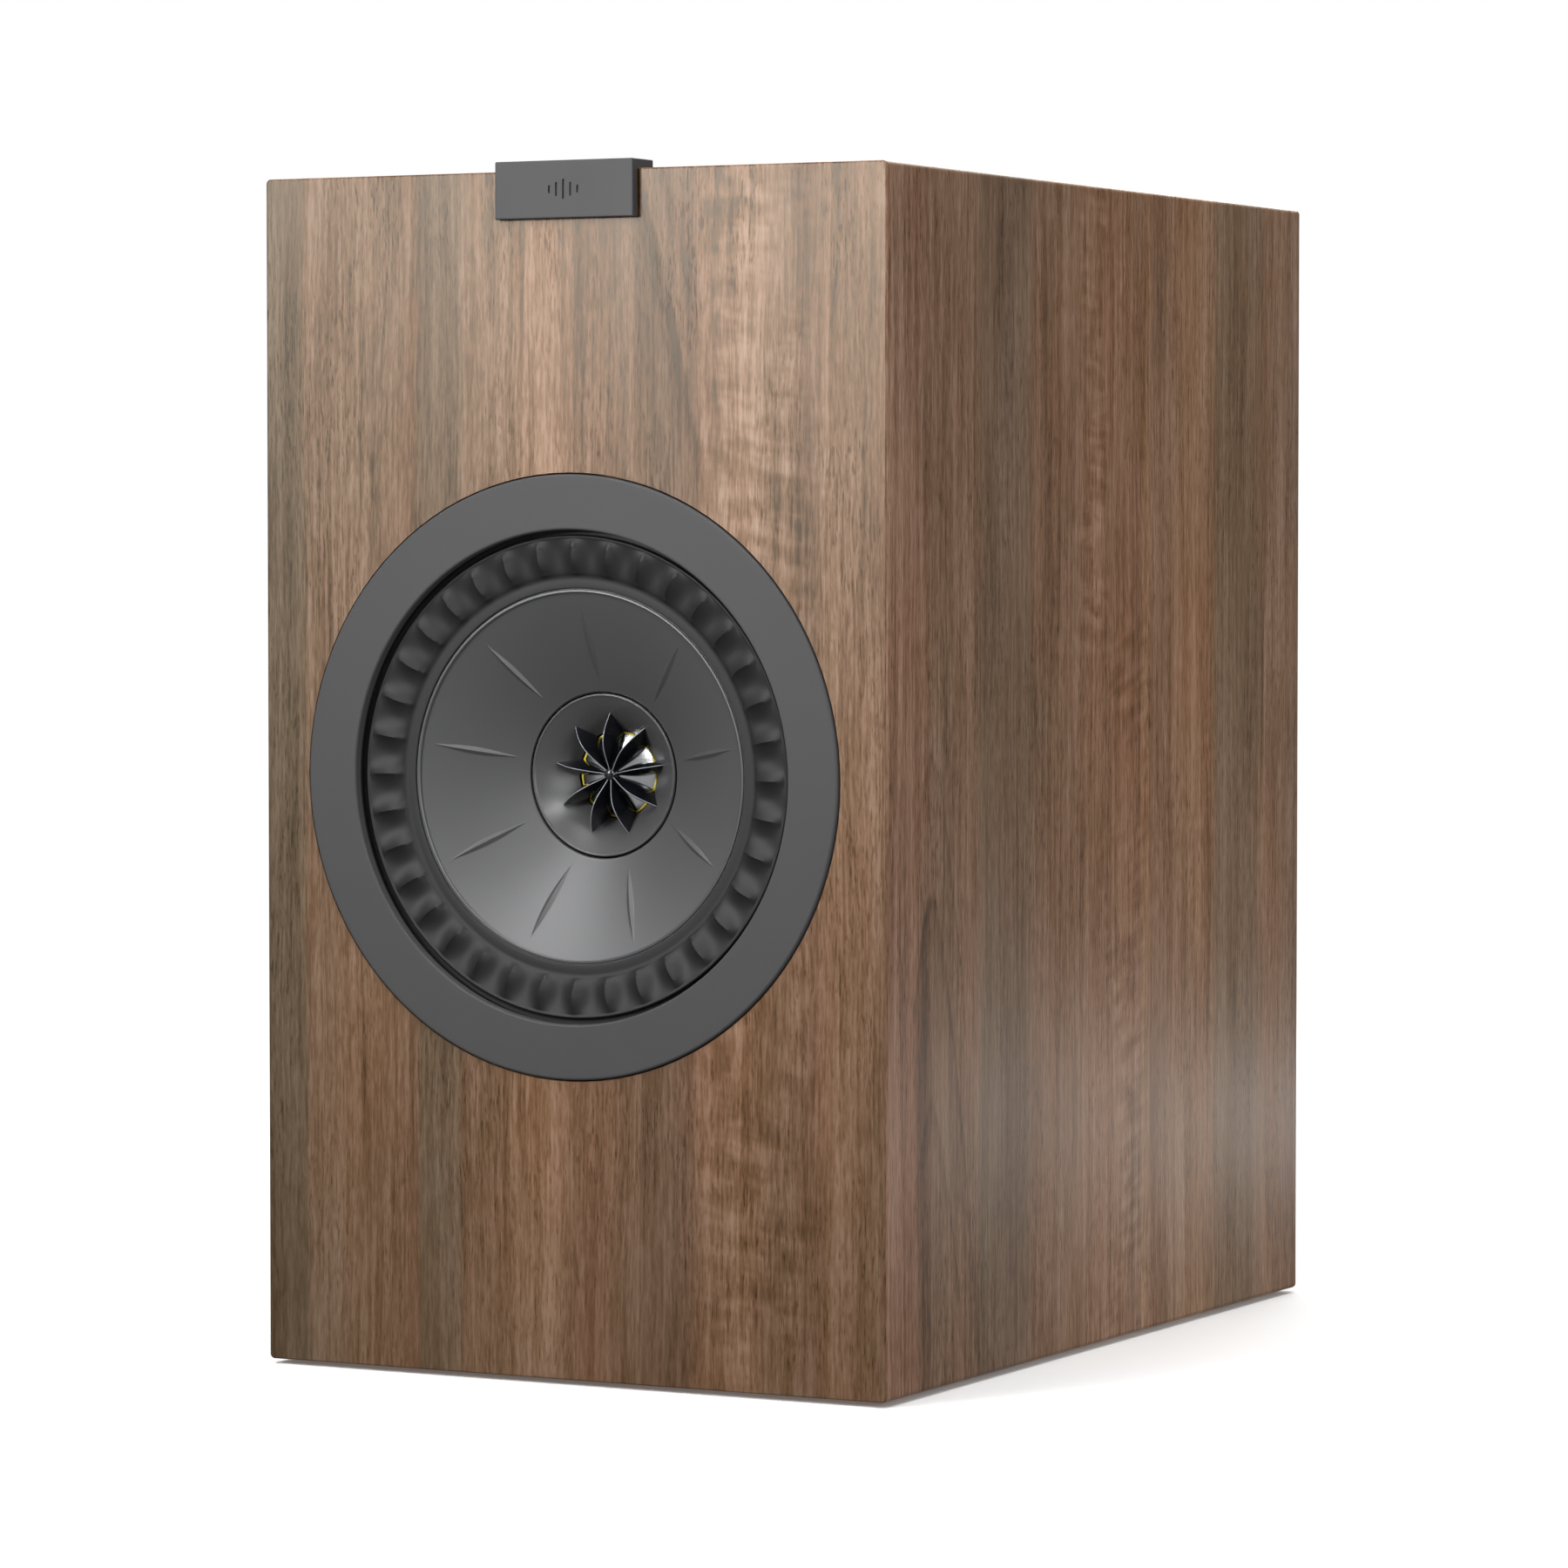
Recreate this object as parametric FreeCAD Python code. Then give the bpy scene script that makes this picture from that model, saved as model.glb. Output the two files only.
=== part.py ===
"""A two-way bookshelf loudspeaker with one coaxial driver, as an assembly of separate pieces.

Millimetres. +X is to the right seen from the front, +Y runs from the front to the back, +Z is up.
The origin is the middle of the footprint, on the surface that the rubber feet stand on.
Driver pieces are drawn as (radius, depth) outlines: radius from the driver's axis, and depth
behind the front face of the baffle. One STEP file is written for each piece.
"""

import FreeCAD, Part
import math
import os

from FreeCAD import Vector

# ---------------------------------------------------------------- driving dimensions
# cabinet
CABINET_WIDTH = 210.0
CABINET_HEIGHT = 358.0
CABINET_DEPTH = 306.0
BAFFLE_THICKNESS = 18.0
WALL_THICKNESS = 15.0
EDGE_RADIUS = 1.5
FRONT_EDGE_RADIUS = 0.6
FOOT_HEIGHT = 1.5
FOOT_RADIUS = 8.0
FOOT_INSET = 26.0

# badge that hooks over the top front edge
BADGE_STAND_OFF = 2.8
BADGE_WIDTH = 46.6
BADGE_DROP = 14.2
BADGE_REACH = 9.5

# driver, front to back (radius or depth)
RING_RADIUS = 89.6
RING_BORE = 73.2
RING_PROUD = 1.0
REBATE_RADIUS = 90.1
REBATE_DEPTH = 6.0
CUTOUT_RADIUS = 78.6
FLANGE_RADIUS = 88.5
FLANGE_FRONT = 2.0
FLANGE_BACK = 5.0
SCREW_CIRCLE = 81.5
DRIVER_SCREWS = 8
CONE_RIM = 55.6
CONE_NECK = 25.1
CONE_NECK_DEPTH = 20.8
FORMER_WALL = 0.2
COIL_WALL = 1.0
LEDGE_DEPTH = 44.0
LEDGE_RADIUS = 50.5
TOP_PLATE_DEPTH = 54.0
FERRITE_DEPTH = 60.0
BACK_PLATE_DEPTH = 76.0
MOTOR_END = 82.0
POLE_RADIUS = 24.3
POLE_BORE = 8.0

# tweeter
FIN_COUNT = 9
FIN_TIP_RADIUS = 18.6
FIN_EDGE = 0.34
FIN_FLARE = 0.36
FIN_CREST = [(1.4, 24.4), (4.0, 22.9), (7.0, 21.2), (10.0, 20.5), (14.0, 21.6), (FIN_TIP_RADIUS, 25.0)]
FIN_LEAF = [(1.0, 0.35), (4.0, 1.05), (7.0, 1.9), (9.5, 2.25), (12.0, 2.1), (15.0, 1.4), (17.5, 0.7), (19.0, 0.25)]
WAVEGUIDE_RADIUS = 24.4
WAVEGUIDE_THROAT = 13.4
DOME_RADIUS = 12.4
DOME_RIM_DEPTH = 30.6
DOME_HEIGHT = 4.1
TWEETER_TOP_DEPTH = 33.5
TWEETER_BASE_DEPTH = 47.0
TWEETER_TUBE_END = 94.0

# port, in the rear panel
PORT_HEIGHT = 288.0
PORT_BORE = 25.0
PORT_WALL = 2.5
PORT_MOUTH = 37.0
PORT_FLANGE = 43.0
PORT_FLARE = 12.0
PORT_LENGTH = 150.0

# terminal cup, in the rear panel
CUP_HEIGHT = 82.0
CUP_WIDTH = 96.0
CUP_TALL = 62.0
CUP_RECESS = 28.0
CUP_WALL = 2.5
CUP_FLANGE_EDGE = 9.0
CUP_FLANGE_THICKNESS = 3.0
POST_SPACING = 38.0
POST_RADIUS = 3.5
SOCKET_RADIUS = 2.0
SOCKET_LENGTH = 17.0
POST_REACH = 26.0
COLLAR_THICKNESS = 3.0
WASHER_THICKNESS = 1.0
KNOB_RADIUS = 8.0
KNOB_LENGTH = 21.0
THREAD_CLEARANCE = 0.05

# crossover board, on the cabinet floor
BOARD_WIDTH = 112.0
BOARD_LENGTH = 96.0
BOARD_THICKNESS = 1.6
STANDOFF_HEIGHT = 6.0
LEAD_RADIUS = 1.1

# ---------------------------------------------------------------- derived places
FRONT_Y = BADGE_STAND_OFF / 2 - CABINET_DEPTH / 2
REAR_Y = FRONT_Y + CABINET_DEPTH
BOTTOM_Z = FOOT_HEIGHT
TOP_Z = BOTTOM_Z + CABINET_HEIGHT
DRIVER_Z = BOTTOM_Z + CABINET_HEIGHT / 2
FLOOR_Z = BOTTOM_Z + WALL_THICKNESS
HALF_WIDTH = CABINET_WIDTH / 2
INNER_HALF = HALF_WIDTH - WALL_THICKNESS
CUP_FLOOR_Y = REAR_Y - CUP_RECESS
CUP_Z = BOTTOM_Z + CUP_HEIGHT
PORT_Z = BOTTOM_Z + PORT_HEIGHT
BOARD_Y = 70.0
BOARD_TOP = FLOOR_Z + STANDOFF_HEIGHT + BOARD_THICKNESS
FORMER_OUTER = CONE_NECK
FORMER_INNER = FORMER_OUTER - FORMER_WALL
COIL_OUTER = FORMER_OUTER + COIL_WALL

ALONG_Y = Vector(0, 1, 0)
UP = Vector(0, 0, 1)


# ---------------------------------------------------------------- helpers
def save(name, *solids):
    """Write one node: a single solid, or a group of separate ones."""
    shape = solids[0] if len(solids) == 1 else Part.Compound(list(solids))
    shape.exportStep(f"parts/{name}.step")


def wire(items, closed=True):
    """A wire in the XY plane. An item is a corner (u, v), or (("arc"), middle, end) for an arc."""
    edges = []
    here = items[0]
    path = list(items[1:]) + ([items[0]] if closed else [])
    for item in path:
        if item[0] == "arc":
            middle, end = item[1], item[2]
            edges.append(Part.Arc(Vector(*here, 0), Vector(*middle, 0), Vector(*end, 0)).toShape())
        else:
            end = item
            edges.append(Part.makeLine(Vector(*here, 0), Vector(*end, 0)))
        here = end
    return Part.Wire(edges)


def on_driver_axis(shape):
    """Move a shape drawn about the Y axis, with depth 0 at the origin, to the driver's place."""
    return shape.translated(Vector(0, FRONT_Y, DRIVER_Z))


def turned(items, angle=360.0):
    """Revolve a closed (radius, depth) outline about the Y axis."""
    face = Part.Face(wire(items))
    return face.revolve(Vector(0, 0, 0), ALONG_Y, angle)


def driver_turned(items):
    return on_driver_axis(turned(items))


def ring_outline(inner, outer, start, end):
    return [(inner, start), (outer, start), (outer, end), (inner, end)]


def driver_ring(inner, outer, start, end):
    return driver_turned(ring_outline(inner, outer, start, end))


def box(x0, x1, y0, y1, z0, z1):
    return Part.makeBox(x1 - x0, y1 - y0, z1 - z0, Vector(x0, y0, z0))


def rounded_box(x0, x1, y0, y1, z0, z1, radius):
    """A box whose four edges along Y are rounded."""
    block = box(x0, x1, y0, y1, z0, z1)
    edges = [e for e in block.Edges if abs(abs(e.tangentAt(e.FirstParameter).y) - 1) < 1e-6]
    return block.makeFillet(radius, edges)


def around(shape, count, first=0.0):
    """Copies of a shape about the Y axis through the origin, evenly spaced."""
    step = 360.0 / count
    return [shape.rotated(Vector(0, 0, 0), ALONG_Y, first + i * step) for i in range(count)]


def fused(shapes):
    return shapes[0].multiFuse(shapes[1:]).removeSplitter()


def hexagon_prism(across_flats, x, y0, y1, z):
    corner = across_flats / math.sqrt(3)
    points = [Vector(corner * math.cos(math.radians(60 * i)), 0, corner * math.sin(math.radians(60 * i)))
              for i in range(7)]
    face = Part.Face(Part.makePolygon(points))
    return face.extrude(Vector(0, y1 - y0, 0)).translated(Vector(x, y0, z))


def wood_screw(head_radius, head_height, shank_radius, length):
    """A countersunk screw along +Y, with the top of its head at the origin and a cross recess."""
    outline = [(0, 0), (head_radius, 0), (head_radius, 0.4), (shank_radius, head_height),
               (shank_radius, length - 2 * shank_radius), (0, length)]
    screw = turned(outline)
    slot_half = 0.35 * shank_radius
    slot_depth = 0.6 * head_height
    reach = 0.6 * head_radius
    across = box(-reach, reach, 0, slot_depth, -slot_half, slot_half)
    upright = box(-slot_half, slot_half, 0, slot_depth, -reach, reach)
    return screw.cut(across.fuse(upright))


def routed(points):
    """A path of straight runs joined by tangent arcs, each as large as its two runs allow."""
    edges = []
    radii = []
    here = points[0]
    for before, corner, after in zip(points, points[1:], points[2:]):
        into, out = corner - before, after - corner
        half_turn = into.getAngle(out) / 2
        setback = 0.45 * min(into.Length, out.Length)
        radii.append(setback / math.tan(half_turn))
        a, b = Vector(into).normalize(), Vector(out).normalize()
        start, end = corner - a * setback, corner + b * setback
        inward = Vector(b - a).normalize()
        to_centre = radii[-1] / math.cos(half_turn)
        middle = corner + inward * (to_centre - radii[-1])
        edges.append(Part.LineSegment(here, start).toShape())
        edges.append(Part.Arc(start, middle, end).toShape())
        here = end
    edges.append(Part.LineSegment(here, points[-1]).toShape())
    return Part.Wire(edges), radii


def lead(points, radius):
    """A round cable along a routed path."""
    points = [Vector(*p) for p in points]
    path, radii = routed(points)
    section = Part.Wire(Part.Circle(points[0], points[1] - points[0], radius).toShape())
    tube = path.makePipeShell([section], True, False)
    wanted = math.pi * radius**2 * path.Length
    print(f"lead: {path.Length:.0f} mm long, smallest bend {min(radii):.1f} mm,"
          f" volume {tube.Volume / wanted:.3f} of section times length")
    return tube


# ---------------------------------------------------------------- cabinet
def rectangle(x0, x1, y0, y1, z0, z1):
    """A closed wire round the flat box whose one pair of limits is equal."""
    if x0 == x1:
        corners = [(x0, y0, z0), (x0, y1, z0), (x0, y1, z1), (x0, y0, z1)]
    elif y0 == y1:
        corners = [(x0, y0, z0), (x1, y0, z0), (x1, y0, z1), (x0, y0, z1)]
    else:
        corners = [(x0, y0, z0), (x1, y0, z0), (x1, y1, z0), (x0, y1, z0)]
    return Part.makePolygon([Vector(*c) for c in corners + corners[:1]])


def mitred_panels():
    """The six panels, mitred into each other, with a small radius on every outer edge, crisper in front."""
    outer = (-HALF_WIDTH, HALF_WIDTH, FRONT_Y, REAR_Y, BOTTOM_Z, TOP_Z)
    inner = (-INNER_HALF, INNER_HALF, FRONT_Y + BAFFLE_THICKNESS, REAR_Y - WALL_THICKNESS,
             FLOOR_Z, TOP_Z - WALL_THICKNESS)
    block = box(*outer)
    block = block.makeFillet(EDGE_RADIUS, [e for e in block.Edges if e.BoundBox.YMax > FRONT_Y + 1e-6])
    front_edges = [e for e in block.Edges if e.BoundBox.YMax < FRONT_Y + 1e-6]
    block = block.makeFillet(FRONT_EDGE_RADIUS, front_edges)
    names = ["left_side_panel", "right_side_panel", "front_baffle", "rear_panel",
             "bottom_panel", "top_panel"]
    panels = {}
    for side, name in enumerate(names):
        faces = []
        for limits in (outer, inner):
            flat = list(limits)
            other = side + 1 if side % 2 == 0 else side - 1
            flat[other] = flat[side]
            faces.append(rectangle(*flat))
        wedge = Part.makeLoft(faces, True, True)
        panels[name] = wedge.common(block)
    return panels


def disc(radius, x, y0, y1, z):
    return Part.makeCylinder(radius, y1 - y0, Vector(x, y0, z), ALONG_Y)


def magnet_places():
    inset = 22.0
    return [(sign * (HALF_WIDTH - inset), z) for sign in (-1, 1)
            for z in (BOTTOM_Z + inset + 4, TOP_Z - inset - 4)]


MAGNET_RADIUS = 6.0
MAGNET_THICKNESS = 3.0
MAGNET_COVER = 2.5


def grille_magnets():
    front = FRONT_Y + MAGNET_COVER
    return [disc(MAGNET_RADIUS, x, front, front + MAGNET_THICKNESS, z) for x, z in magnet_places()]


def drilled_baffle(panel):
    rebate = driver_ring_cylinder(REBATE_RADIUS, -1, REBATE_DEPTH)
    cutout = driver_ring_cylinder(CUTOUT_RADIUS, 0, BAFFLE_THICKNESS + 1)
    pockets = [disc(MAGNET_RADIUS + 0.05, x, FRONT_Y + MAGNET_COVER, FRONT_Y + BAFFLE_THICKNESS + 1, z)
               for x, z in magnet_places()]
    pilots = [on_driver_axis(s) for s in around(
        disc(2.05, SCREW_CIRCLE, REBATE_DEPTH - 1, 17.5, 0), DRIVER_SCREWS, 22.5)]
    return panel.cut([rebate, cutout] + pockets + pilots)


def driver_ring_cylinder(radius, start, end):
    return on_driver_axis(disc(radius, 0, start, end, 0))


def cup_limits(margin):
    return (-CUP_WIDTH / 2 - margin, CUP_WIDTH / 2 + margin,
            CUP_Z - CUP_TALL / 2 - margin, CUP_Z + CUP_TALL / 2 + margin)


def cup_block(margin, y0, y1, radius):
    x0, x1, z0, z1 = cup_limits(margin)
    return rounded_box(x0, x1, y0, y1, z0, z1, radius)


CUP_CORNER = 8.0
CUP_FLANGE_CORNER = 10.0
CUP_FLANGE_FRONT = REAR_Y - CUP_FLANGE_THICKNESS
CUP_GASKET = 0.8


def cup_screw_places():
    x = CUP_WIDTH / 2 + CUP_FLANGE_EDGE / 2 - 1.5
    z = CUP_TALL / 2 + CUP_FLANGE_EDGE / 2 - 1.5
    return [(sx * x, CUP_Z + sz * z) for sx in (-1, 1) for sz in (-1, 1)]


def drilled_rear(panel):
    rebate = cup_block(CUP_FLANGE_EDGE + 0.3, CUP_FLANGE_FRONT - CUP_GASKET, REAR_Y + 1,
                       CUP_FLANGE_CORNER + 0.3)
    opening = cup_block(CUP_WALL + 0.3, REAR_Y - WALL_THICKNESS - 1, REAR_Y + 1, CUP_CORNER + CUP_WALL)
    port = disc(PORT_BORE + PORT_WALL + 0.05, 0, REAR_Y - WALL_THICKNESS - 1, REAR_Y + 1, PORT_Z)
    seat = turned([(0, 1), (PORT_FLANGE + 0.3, 1), (PORT_FLANGE + 0.3, -PORT_FLANGE_THICKNESS),
                   (PORT_MOUTH + PORT_WALL + 1.4, -PORT_FLANGE_THICKNESS),
                   (PORT_BORE + PORT_WALL, -WALL_THICKNESS), (0, -WALL_THICKNESS)])
    seat = seat.translated(Vector(0, REAR_Y, PORT_Z))
    pilots = [disc(1.55, x, CUP_FLANGE_FRONT - 9.5, REAR_Y, z) for x, z in cup_screw_places()]
    return panel.cut([rebate, opening, port, seat] + pilots)


def cabinet_brace():
    """A window frame across the cabinet behind the driver, with one cross rail."""
    y0, thickness, rim = -22.0, 12.0, 24.0
    z0, z1 = FLOOR_Z, TOP_Z - WALL_THICKNESS
    frame = box(-INNER_HALF, INNER_HALF, y0, y0 + thickness, z0, z1)
    lower = rounded_box(-INNER_HALF + rim, INNER_HALF - rim, y0 - 1, y0 + thickness + 1,
                        z0 + rim, DRIVER_Z - 12, 14)
    upper = rounded_box(-INNER_HALF + rim, INNER_HALF - rim, y0 - 1, y0 + thickness + 1,
                        DRIVER_Z + 12, z1 - rim, 14)
    return frame.cut([lower, upper])


def wadding():
    """Sheets of wadding on the two side walls and under the top, behind the brace."""
    y0, y1, thickness, gap = -4.0, 112.0, 12.0, 0.5
    low, high = FLOOR_Z + 46, TOP_Z - WALL_THICKNESS - 20
    left = box(-INNER_HALF + gap, -INNER_HALF + gap + thickness, y0, y1, low, high)
    right = box(INNER_HALF - gap - thickness, INNER_HALF - gap, y0, y1, low, high)
    ceiling = TOP_Z - WALL_THICKNESS - gap
    top = box(-INNER_HALF + 22, INNER_HALF - 22, -120, -30, ceiling - thickness, ceiling)
    return [s.makeFillet(4, s.Edges) for s in (left, right, top)]


def rubber_feet():
    outline = [(0, 0), (FOOT_RADIUS - 0.5, 0), (FOOT_RADIUS, 0.5), (FOOT_RADIUS, FOOT_HEIGHT),
               (0, FOOT_HEIGHT)]
    pad = turned(outline).rotated(Vector(0, 0, 0), Vector(1, 0, 0), 90)
    x = HALF_WIDTH - FOOT_INSET
    return [pad.translated(Vector(sx * x, y, 0)) for sx in (-1, 1)
            for y in (FRONT_Y + FOOT_INSET, REAR_Y - FOOT_INSET)]


def badge():
    """An angle plate over the top front edge, with five short generic grooves in its face."""
    front, back = FRONT_Y - BADGE_STAND_OFF, FRONT_Y
    top = TOP_Z + BADGE_STAND_OFF
    plate = box(-BADGE_WIDTH / 2, BADGE_WIDTH / 2, front, back, TOP_Z - BADGE_DROP, top)
    hook = box(-BADGE_WIDTH / 2, BADGE_WIDTH / 2, back, back + BADGE_REACH, TOP_Z, top)
    body = plate.fuse(hook).removeSplitter()
    seat = box(-BADGE_WIDTH, BADGE_WIDTH, FRONT_Y, REAR_Y, BOTTOM_Z, TOP_Z)
    seat = seat.makeFillet(FRONT_EDGE_RADIUS, [e for e in seat.Edges
                                         if abs(e.CenterOfMass.y - FRONT_Y) < 1e-6
                                         and abs(e.CenterOfMass.z - TOP_Z) < 1e-6])
    edges = [e for e in body.Edges if abs(e.CenterOfMass.y - front) < 1e-6
             or (abs(e.CenterOfMass.z - top) < 1e-6 and e.CenterOfMass.y > front + 0.1)]
    body = body.makeFillet(0.4, edges)
    corner_fill = box(-BADGE_WIDTH / 2, BADGE_WIDTH / 2, FRONT_Y - 0.5, FRONT_Y + FRONT_EDGE_RADIUS,
                      TOP_Z - FRONT_EDGE_RADIUS, TOP_Z + 0.5)
    body = body.fuse(corner_fill).cut(seat).removeSplitter()
    centre = TOP_Z + (BADGE_STAND_OFF - BADGE_DROP) / 2
    for i, height in enumerate((2.2, 4.0, 5.8, 4.0, 2.2)):
        x = (i - 2) * 2.4
        body = body.cut(box(x - 0.4, x + 0.4, front - 1, front + 0.5, centre - height / 2,
                            centre + height / 2))
    return body


# ---------------------------------------------------------------- woofer
def trim_ring():
    """The flat ring that hides the driver's flange and screws: a shallow channel, open at the back."""
    face, land = -RING_PROUD, FLANGE_FRONT
    return driver_turned([
        (RING_BORE, face + 0.7), ("arc", (RING_BORE + 0.2, face + 0.2), (RING_BORE + 0.7, face)),
        (RING_RADIUS - 0.8, face), ("arc", (RING_RADIUS - 0.23, face + 0.23), (RING_RADIUS, face + 0.8)),
        (RING_RADIUS, land), (RING_RADIUS - 1.6, land), (RING_RADIUS - 1.6, face + 1.9),
        (RING_BORE + 2.2, face + 1.9), (RING_BORE + 2.2, land), (RING_BORE, land)])


def driver_basket():
    """Cast frame: flange, seat for the surround, six legs, spider ledge and motor flange."""
    outline = [(74.2, FLANGE_FRONT), (FLANGE_RADIUS, FLANGE_FRONT), (FLANGE_RADIUS, FLANGE_BACK),
               (77.5, FLANGE_BACK), (77.5, 7.5), (LEDGE_RADIUS + 3, LEDGE_DEPTH - 3),
               (LEDGE_RADIUS + 3, TOP_PLATE_DEPTH), (36, TOP_PLATE_DEPTH), (36, TOP_PLATE_DEPTH - 3),
               (LEDGE_RADIUS, TOP_PLATE_DEPTH - 3), (LEDGE_RADIUS, LEDGE_DEPTH + 2),
               (44.5, LEDGE_DEPTH + 2), (44.5, LEDGE_DEPTH), (LEDGE_RADIUS, LEDGE_DEPTH),
               (LEDGE_RADIUS, LEDGE_DEPTH - 3.6), (73.2, 8.0), (69.0, 8.0), (69.0, FLANGE_BACK),
               (74.2, FLANGE_BACK)]
    legs, window = 6, 40.0
    frame = turned(outline)
    cutter = turned(ring_outline(40, 80, 12, 38), window)
    frame = frame.cut(around(cutter, legs, 90 - window / 2 + 30))
    boss = box(-18, 18, LEDGE_DEPTH - 2, TOP_PLATE_DEPTH - 1, -LEDGE_RADIUS - 4, -LEDGE_RADIUS + 4)
    boss = boss.cut(disc(LEDGE_RADIUS + 1, 0, 0, 80, 0))
    holes = around(disc(2.1, SCREW_CIRCLE, 0, 8, 0), DRIVER_SCREWS, 22.5)
    sinks = around(turned([(0, FLANGE_FRONT - 1), (4.3, FLANGE_FRONT - 1), (4.3, FLANGE_FRONT + 0.1),
                           (2.1, FLANGE_FRONT + 2.4), (0, FLANGE_FRONT + 2.4)])
                   .translated(Vector(SCREW_CIRCLE, 0, 0)), DRIVER_SCREWS, 22.5)
    return on_driver_axis(frame.fuse(boss).cut(holes + sinks).removeSplitter())


def driver_screws():
    screw = wood_screw(4.0, 2.2, 2.0, 15.0).translated(Vector(SCREW_CIRCLE, FLANGE_FRONT - 0.2, 0))
    return [on_driver_axis(s) for s in around(screw, DRIVER_SCREWS, 22.5)]


def driver_gasket():
    gasket = turned(ring_outline(CUTOUT_RADIUS, FLANGE_RADIUS, FLANGE_BACK, REBATE_DEPTH))
    holes = around(disc(2.1, SCREW_CIRCLE, 0, 8, 0), DRIVER_SCREWS, 22.5)
    return on_driver_axis(gasket.cut(holes))


def surround():
    """The rubber roll between cone and basket, plain, at its true outer size."""
    return driver_turned([
        (73.4, 4.2), (73.4, 5.0), (70.0, 5.0), (70.0, 3.0), ("arc", (65.0, 1.3), (60.2, 4.7)),
        (58.6, 5.85), (55.85, 5.85), (55.85, 5.2), (58.2, 5.2), ("arc", (64.6, 0.35), (70.4, 1.6)),
        (71.6, 1.6), (71.6, 4.2)])


def cone():
    """Stiff diaphragm: shallow flare, rim bead, and a collar glued round the coil former."""
    neck, depth, wall = CONE_NECK, CONE_NECK_DEPTH, 0.8
    return driver_turned([
        (neck, depth), ("arc", (40.0, 12.7), (54.6, 6.2)), ("arc", (55.1, 5.4), (CONE_RIM, 5.9)),
        (58.4, 5.9), (58.4, 6.6), (54.8, 7.0), ("arc", (40.4, 13.5), (neck + 1.2, depth + 0.8)),
        (neck + 0.9, depth + 4), (neck, depth + 4)])


COIL_START, COIL_END = 49.0, 65.0


def voice_coil_former():
    return driver_ring(FORMER_INNER, FORMER_OUTER, CONE_NECK_DEPTH + 0.4, COIL_END + 1)


def voice_coil_winding():
    return driver_ring(FORMER_OUTER, COIL_OUTER, COIL_START, COIL_END)


def spider():
    """Corrugated cloth disc that centres the coil, from the former out to the basket's ledge."""
    inner, outer = 26.4, 44.5
    waves, swing, wall = 5, 1.1, 0.6
    middle = LEDGE_DEPTH - wall

    def corrugation(offset):
        steps = waves * 8
        points = []
        for i in range(steps + 1):
            share = i / steps
            radius = inner + (outer - inner) * share
            height = swing * math.sin(2 * math.pi * waves * share)
            points.append(Vector(radius, middle + offset + height, 0))
        curve = Part.BSplineCurve()
        curve.interpolate(points)
        return curve.toShape(), points[0], points[-1]

    front, front_in, front_out = corrugation(0)
    back, back_in, back_out = corrugation(wall)
    flange_end, collar = LEDGE_RADIUS - 0.3, FORMER_OUTER
    corners = [front_out, Vector(flange_end, middle, 0), Vector(flange_end, middle + wall, 0), back_out]
    outer_edges = [Part.makeLine(a, b) for a, b in zip(corners, corners[1:])]
    corners = [back_in, Vector(collar, middle + wall, 0), Vector(collar, middle - 2, 0),
               Vector(collar + 0.5, middle - 2, 0), Vector(collar + 0.5, middle, 0), front_in]
    inner_edges = [Part.makeLine(a, b) for a, b in zip(corners, corners[1:])]
    outline = Part.Wire(Part.sortEdges([front, back] + outer_edges + inner_edges)[0])
    return on_driver_axis(Part.Face(outline).revolve(Vector(0, 0, 0), ALONG_Y, 360))


def motor_top_plate():
    return driver_ring(COIL_OUTER + 0.7, 50, TOP_PLATE_DEPTH, FERRITE_DEPTH)


def ferrite_magnet():
    chamfer = 1.5
    return driver_turned([
        (33, FERRITE_DEPTH), (52 - chamfer, FERRITE_DEPTH), (52, FERRITE_DEPTH + chamfer),
        (52, BACK_PLATE_DEPTH - chamfer), (52 - chamfer, BACK_PLATE_DEPTH), (33, BACK_PLATE_DEPTH)])


def motor_yoke():
    """Back plate and pole in one turned piece, bored for the tweeter's rear tube."""
    pole_top = 51.0
    return driver_turned([
        (POLE_BORE, pole_top), (POLE_RADIUS - 0.6, pole_top), (POLE_RADIUS, pole_top + 0.6),
        (POLE_RADIUS, BACK_PLATE_DEPTH - 2), (POLE_RADIUS + 2, BACK_PLATE_DEPTH),
        (50, BACK_PLATE_DEPTH), (50, MOTOR_END - 2), (48, MOTOR_END), (POLE_BORE, MOTOR_END)])


TAG_PLACES = (-12.0, 12.0)
TAG_PLATE_Z = -LEDGE_RADIUS - 4


def driver_tag_strip():
    plate = box(-17, 17, LEDGE_DEPTH - 1, TOP_PLATE_DEPTH - 2, TAG_PLATE_Z - 1.6, TAG_PLATE_Z)
    return on_driver_axis(plate)


def driver_tags():
    """Two push-on tabs bent down from the strip."""
    tags = []
    for x in TAG_PLACES:
        foot = box(x - 2.4, x + 2.4, LEDGE_DEPTH, TOP_PLATE_DEPTH + 4, TAG_PLATE_Z - 2.4, TAG_PLATE_Z - 1.6)
        blade = box(x - 2.4, x + 2.4, TOP_PLATE_DEPTH + 3.2, TOP_PLATE_DEPTH + 4, TAG_PLATE_Z - 8,
                    TAG_PLATE_Z - 2.4)
        tags.append(on_driver_axis(foot.fuse(blade).removeSplitter()))
    return tags


TINSEL_RADIUS = 0.4
TINSEL_ANGLE = 14.0
TINSEL_DEPTH = 32.0


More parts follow.
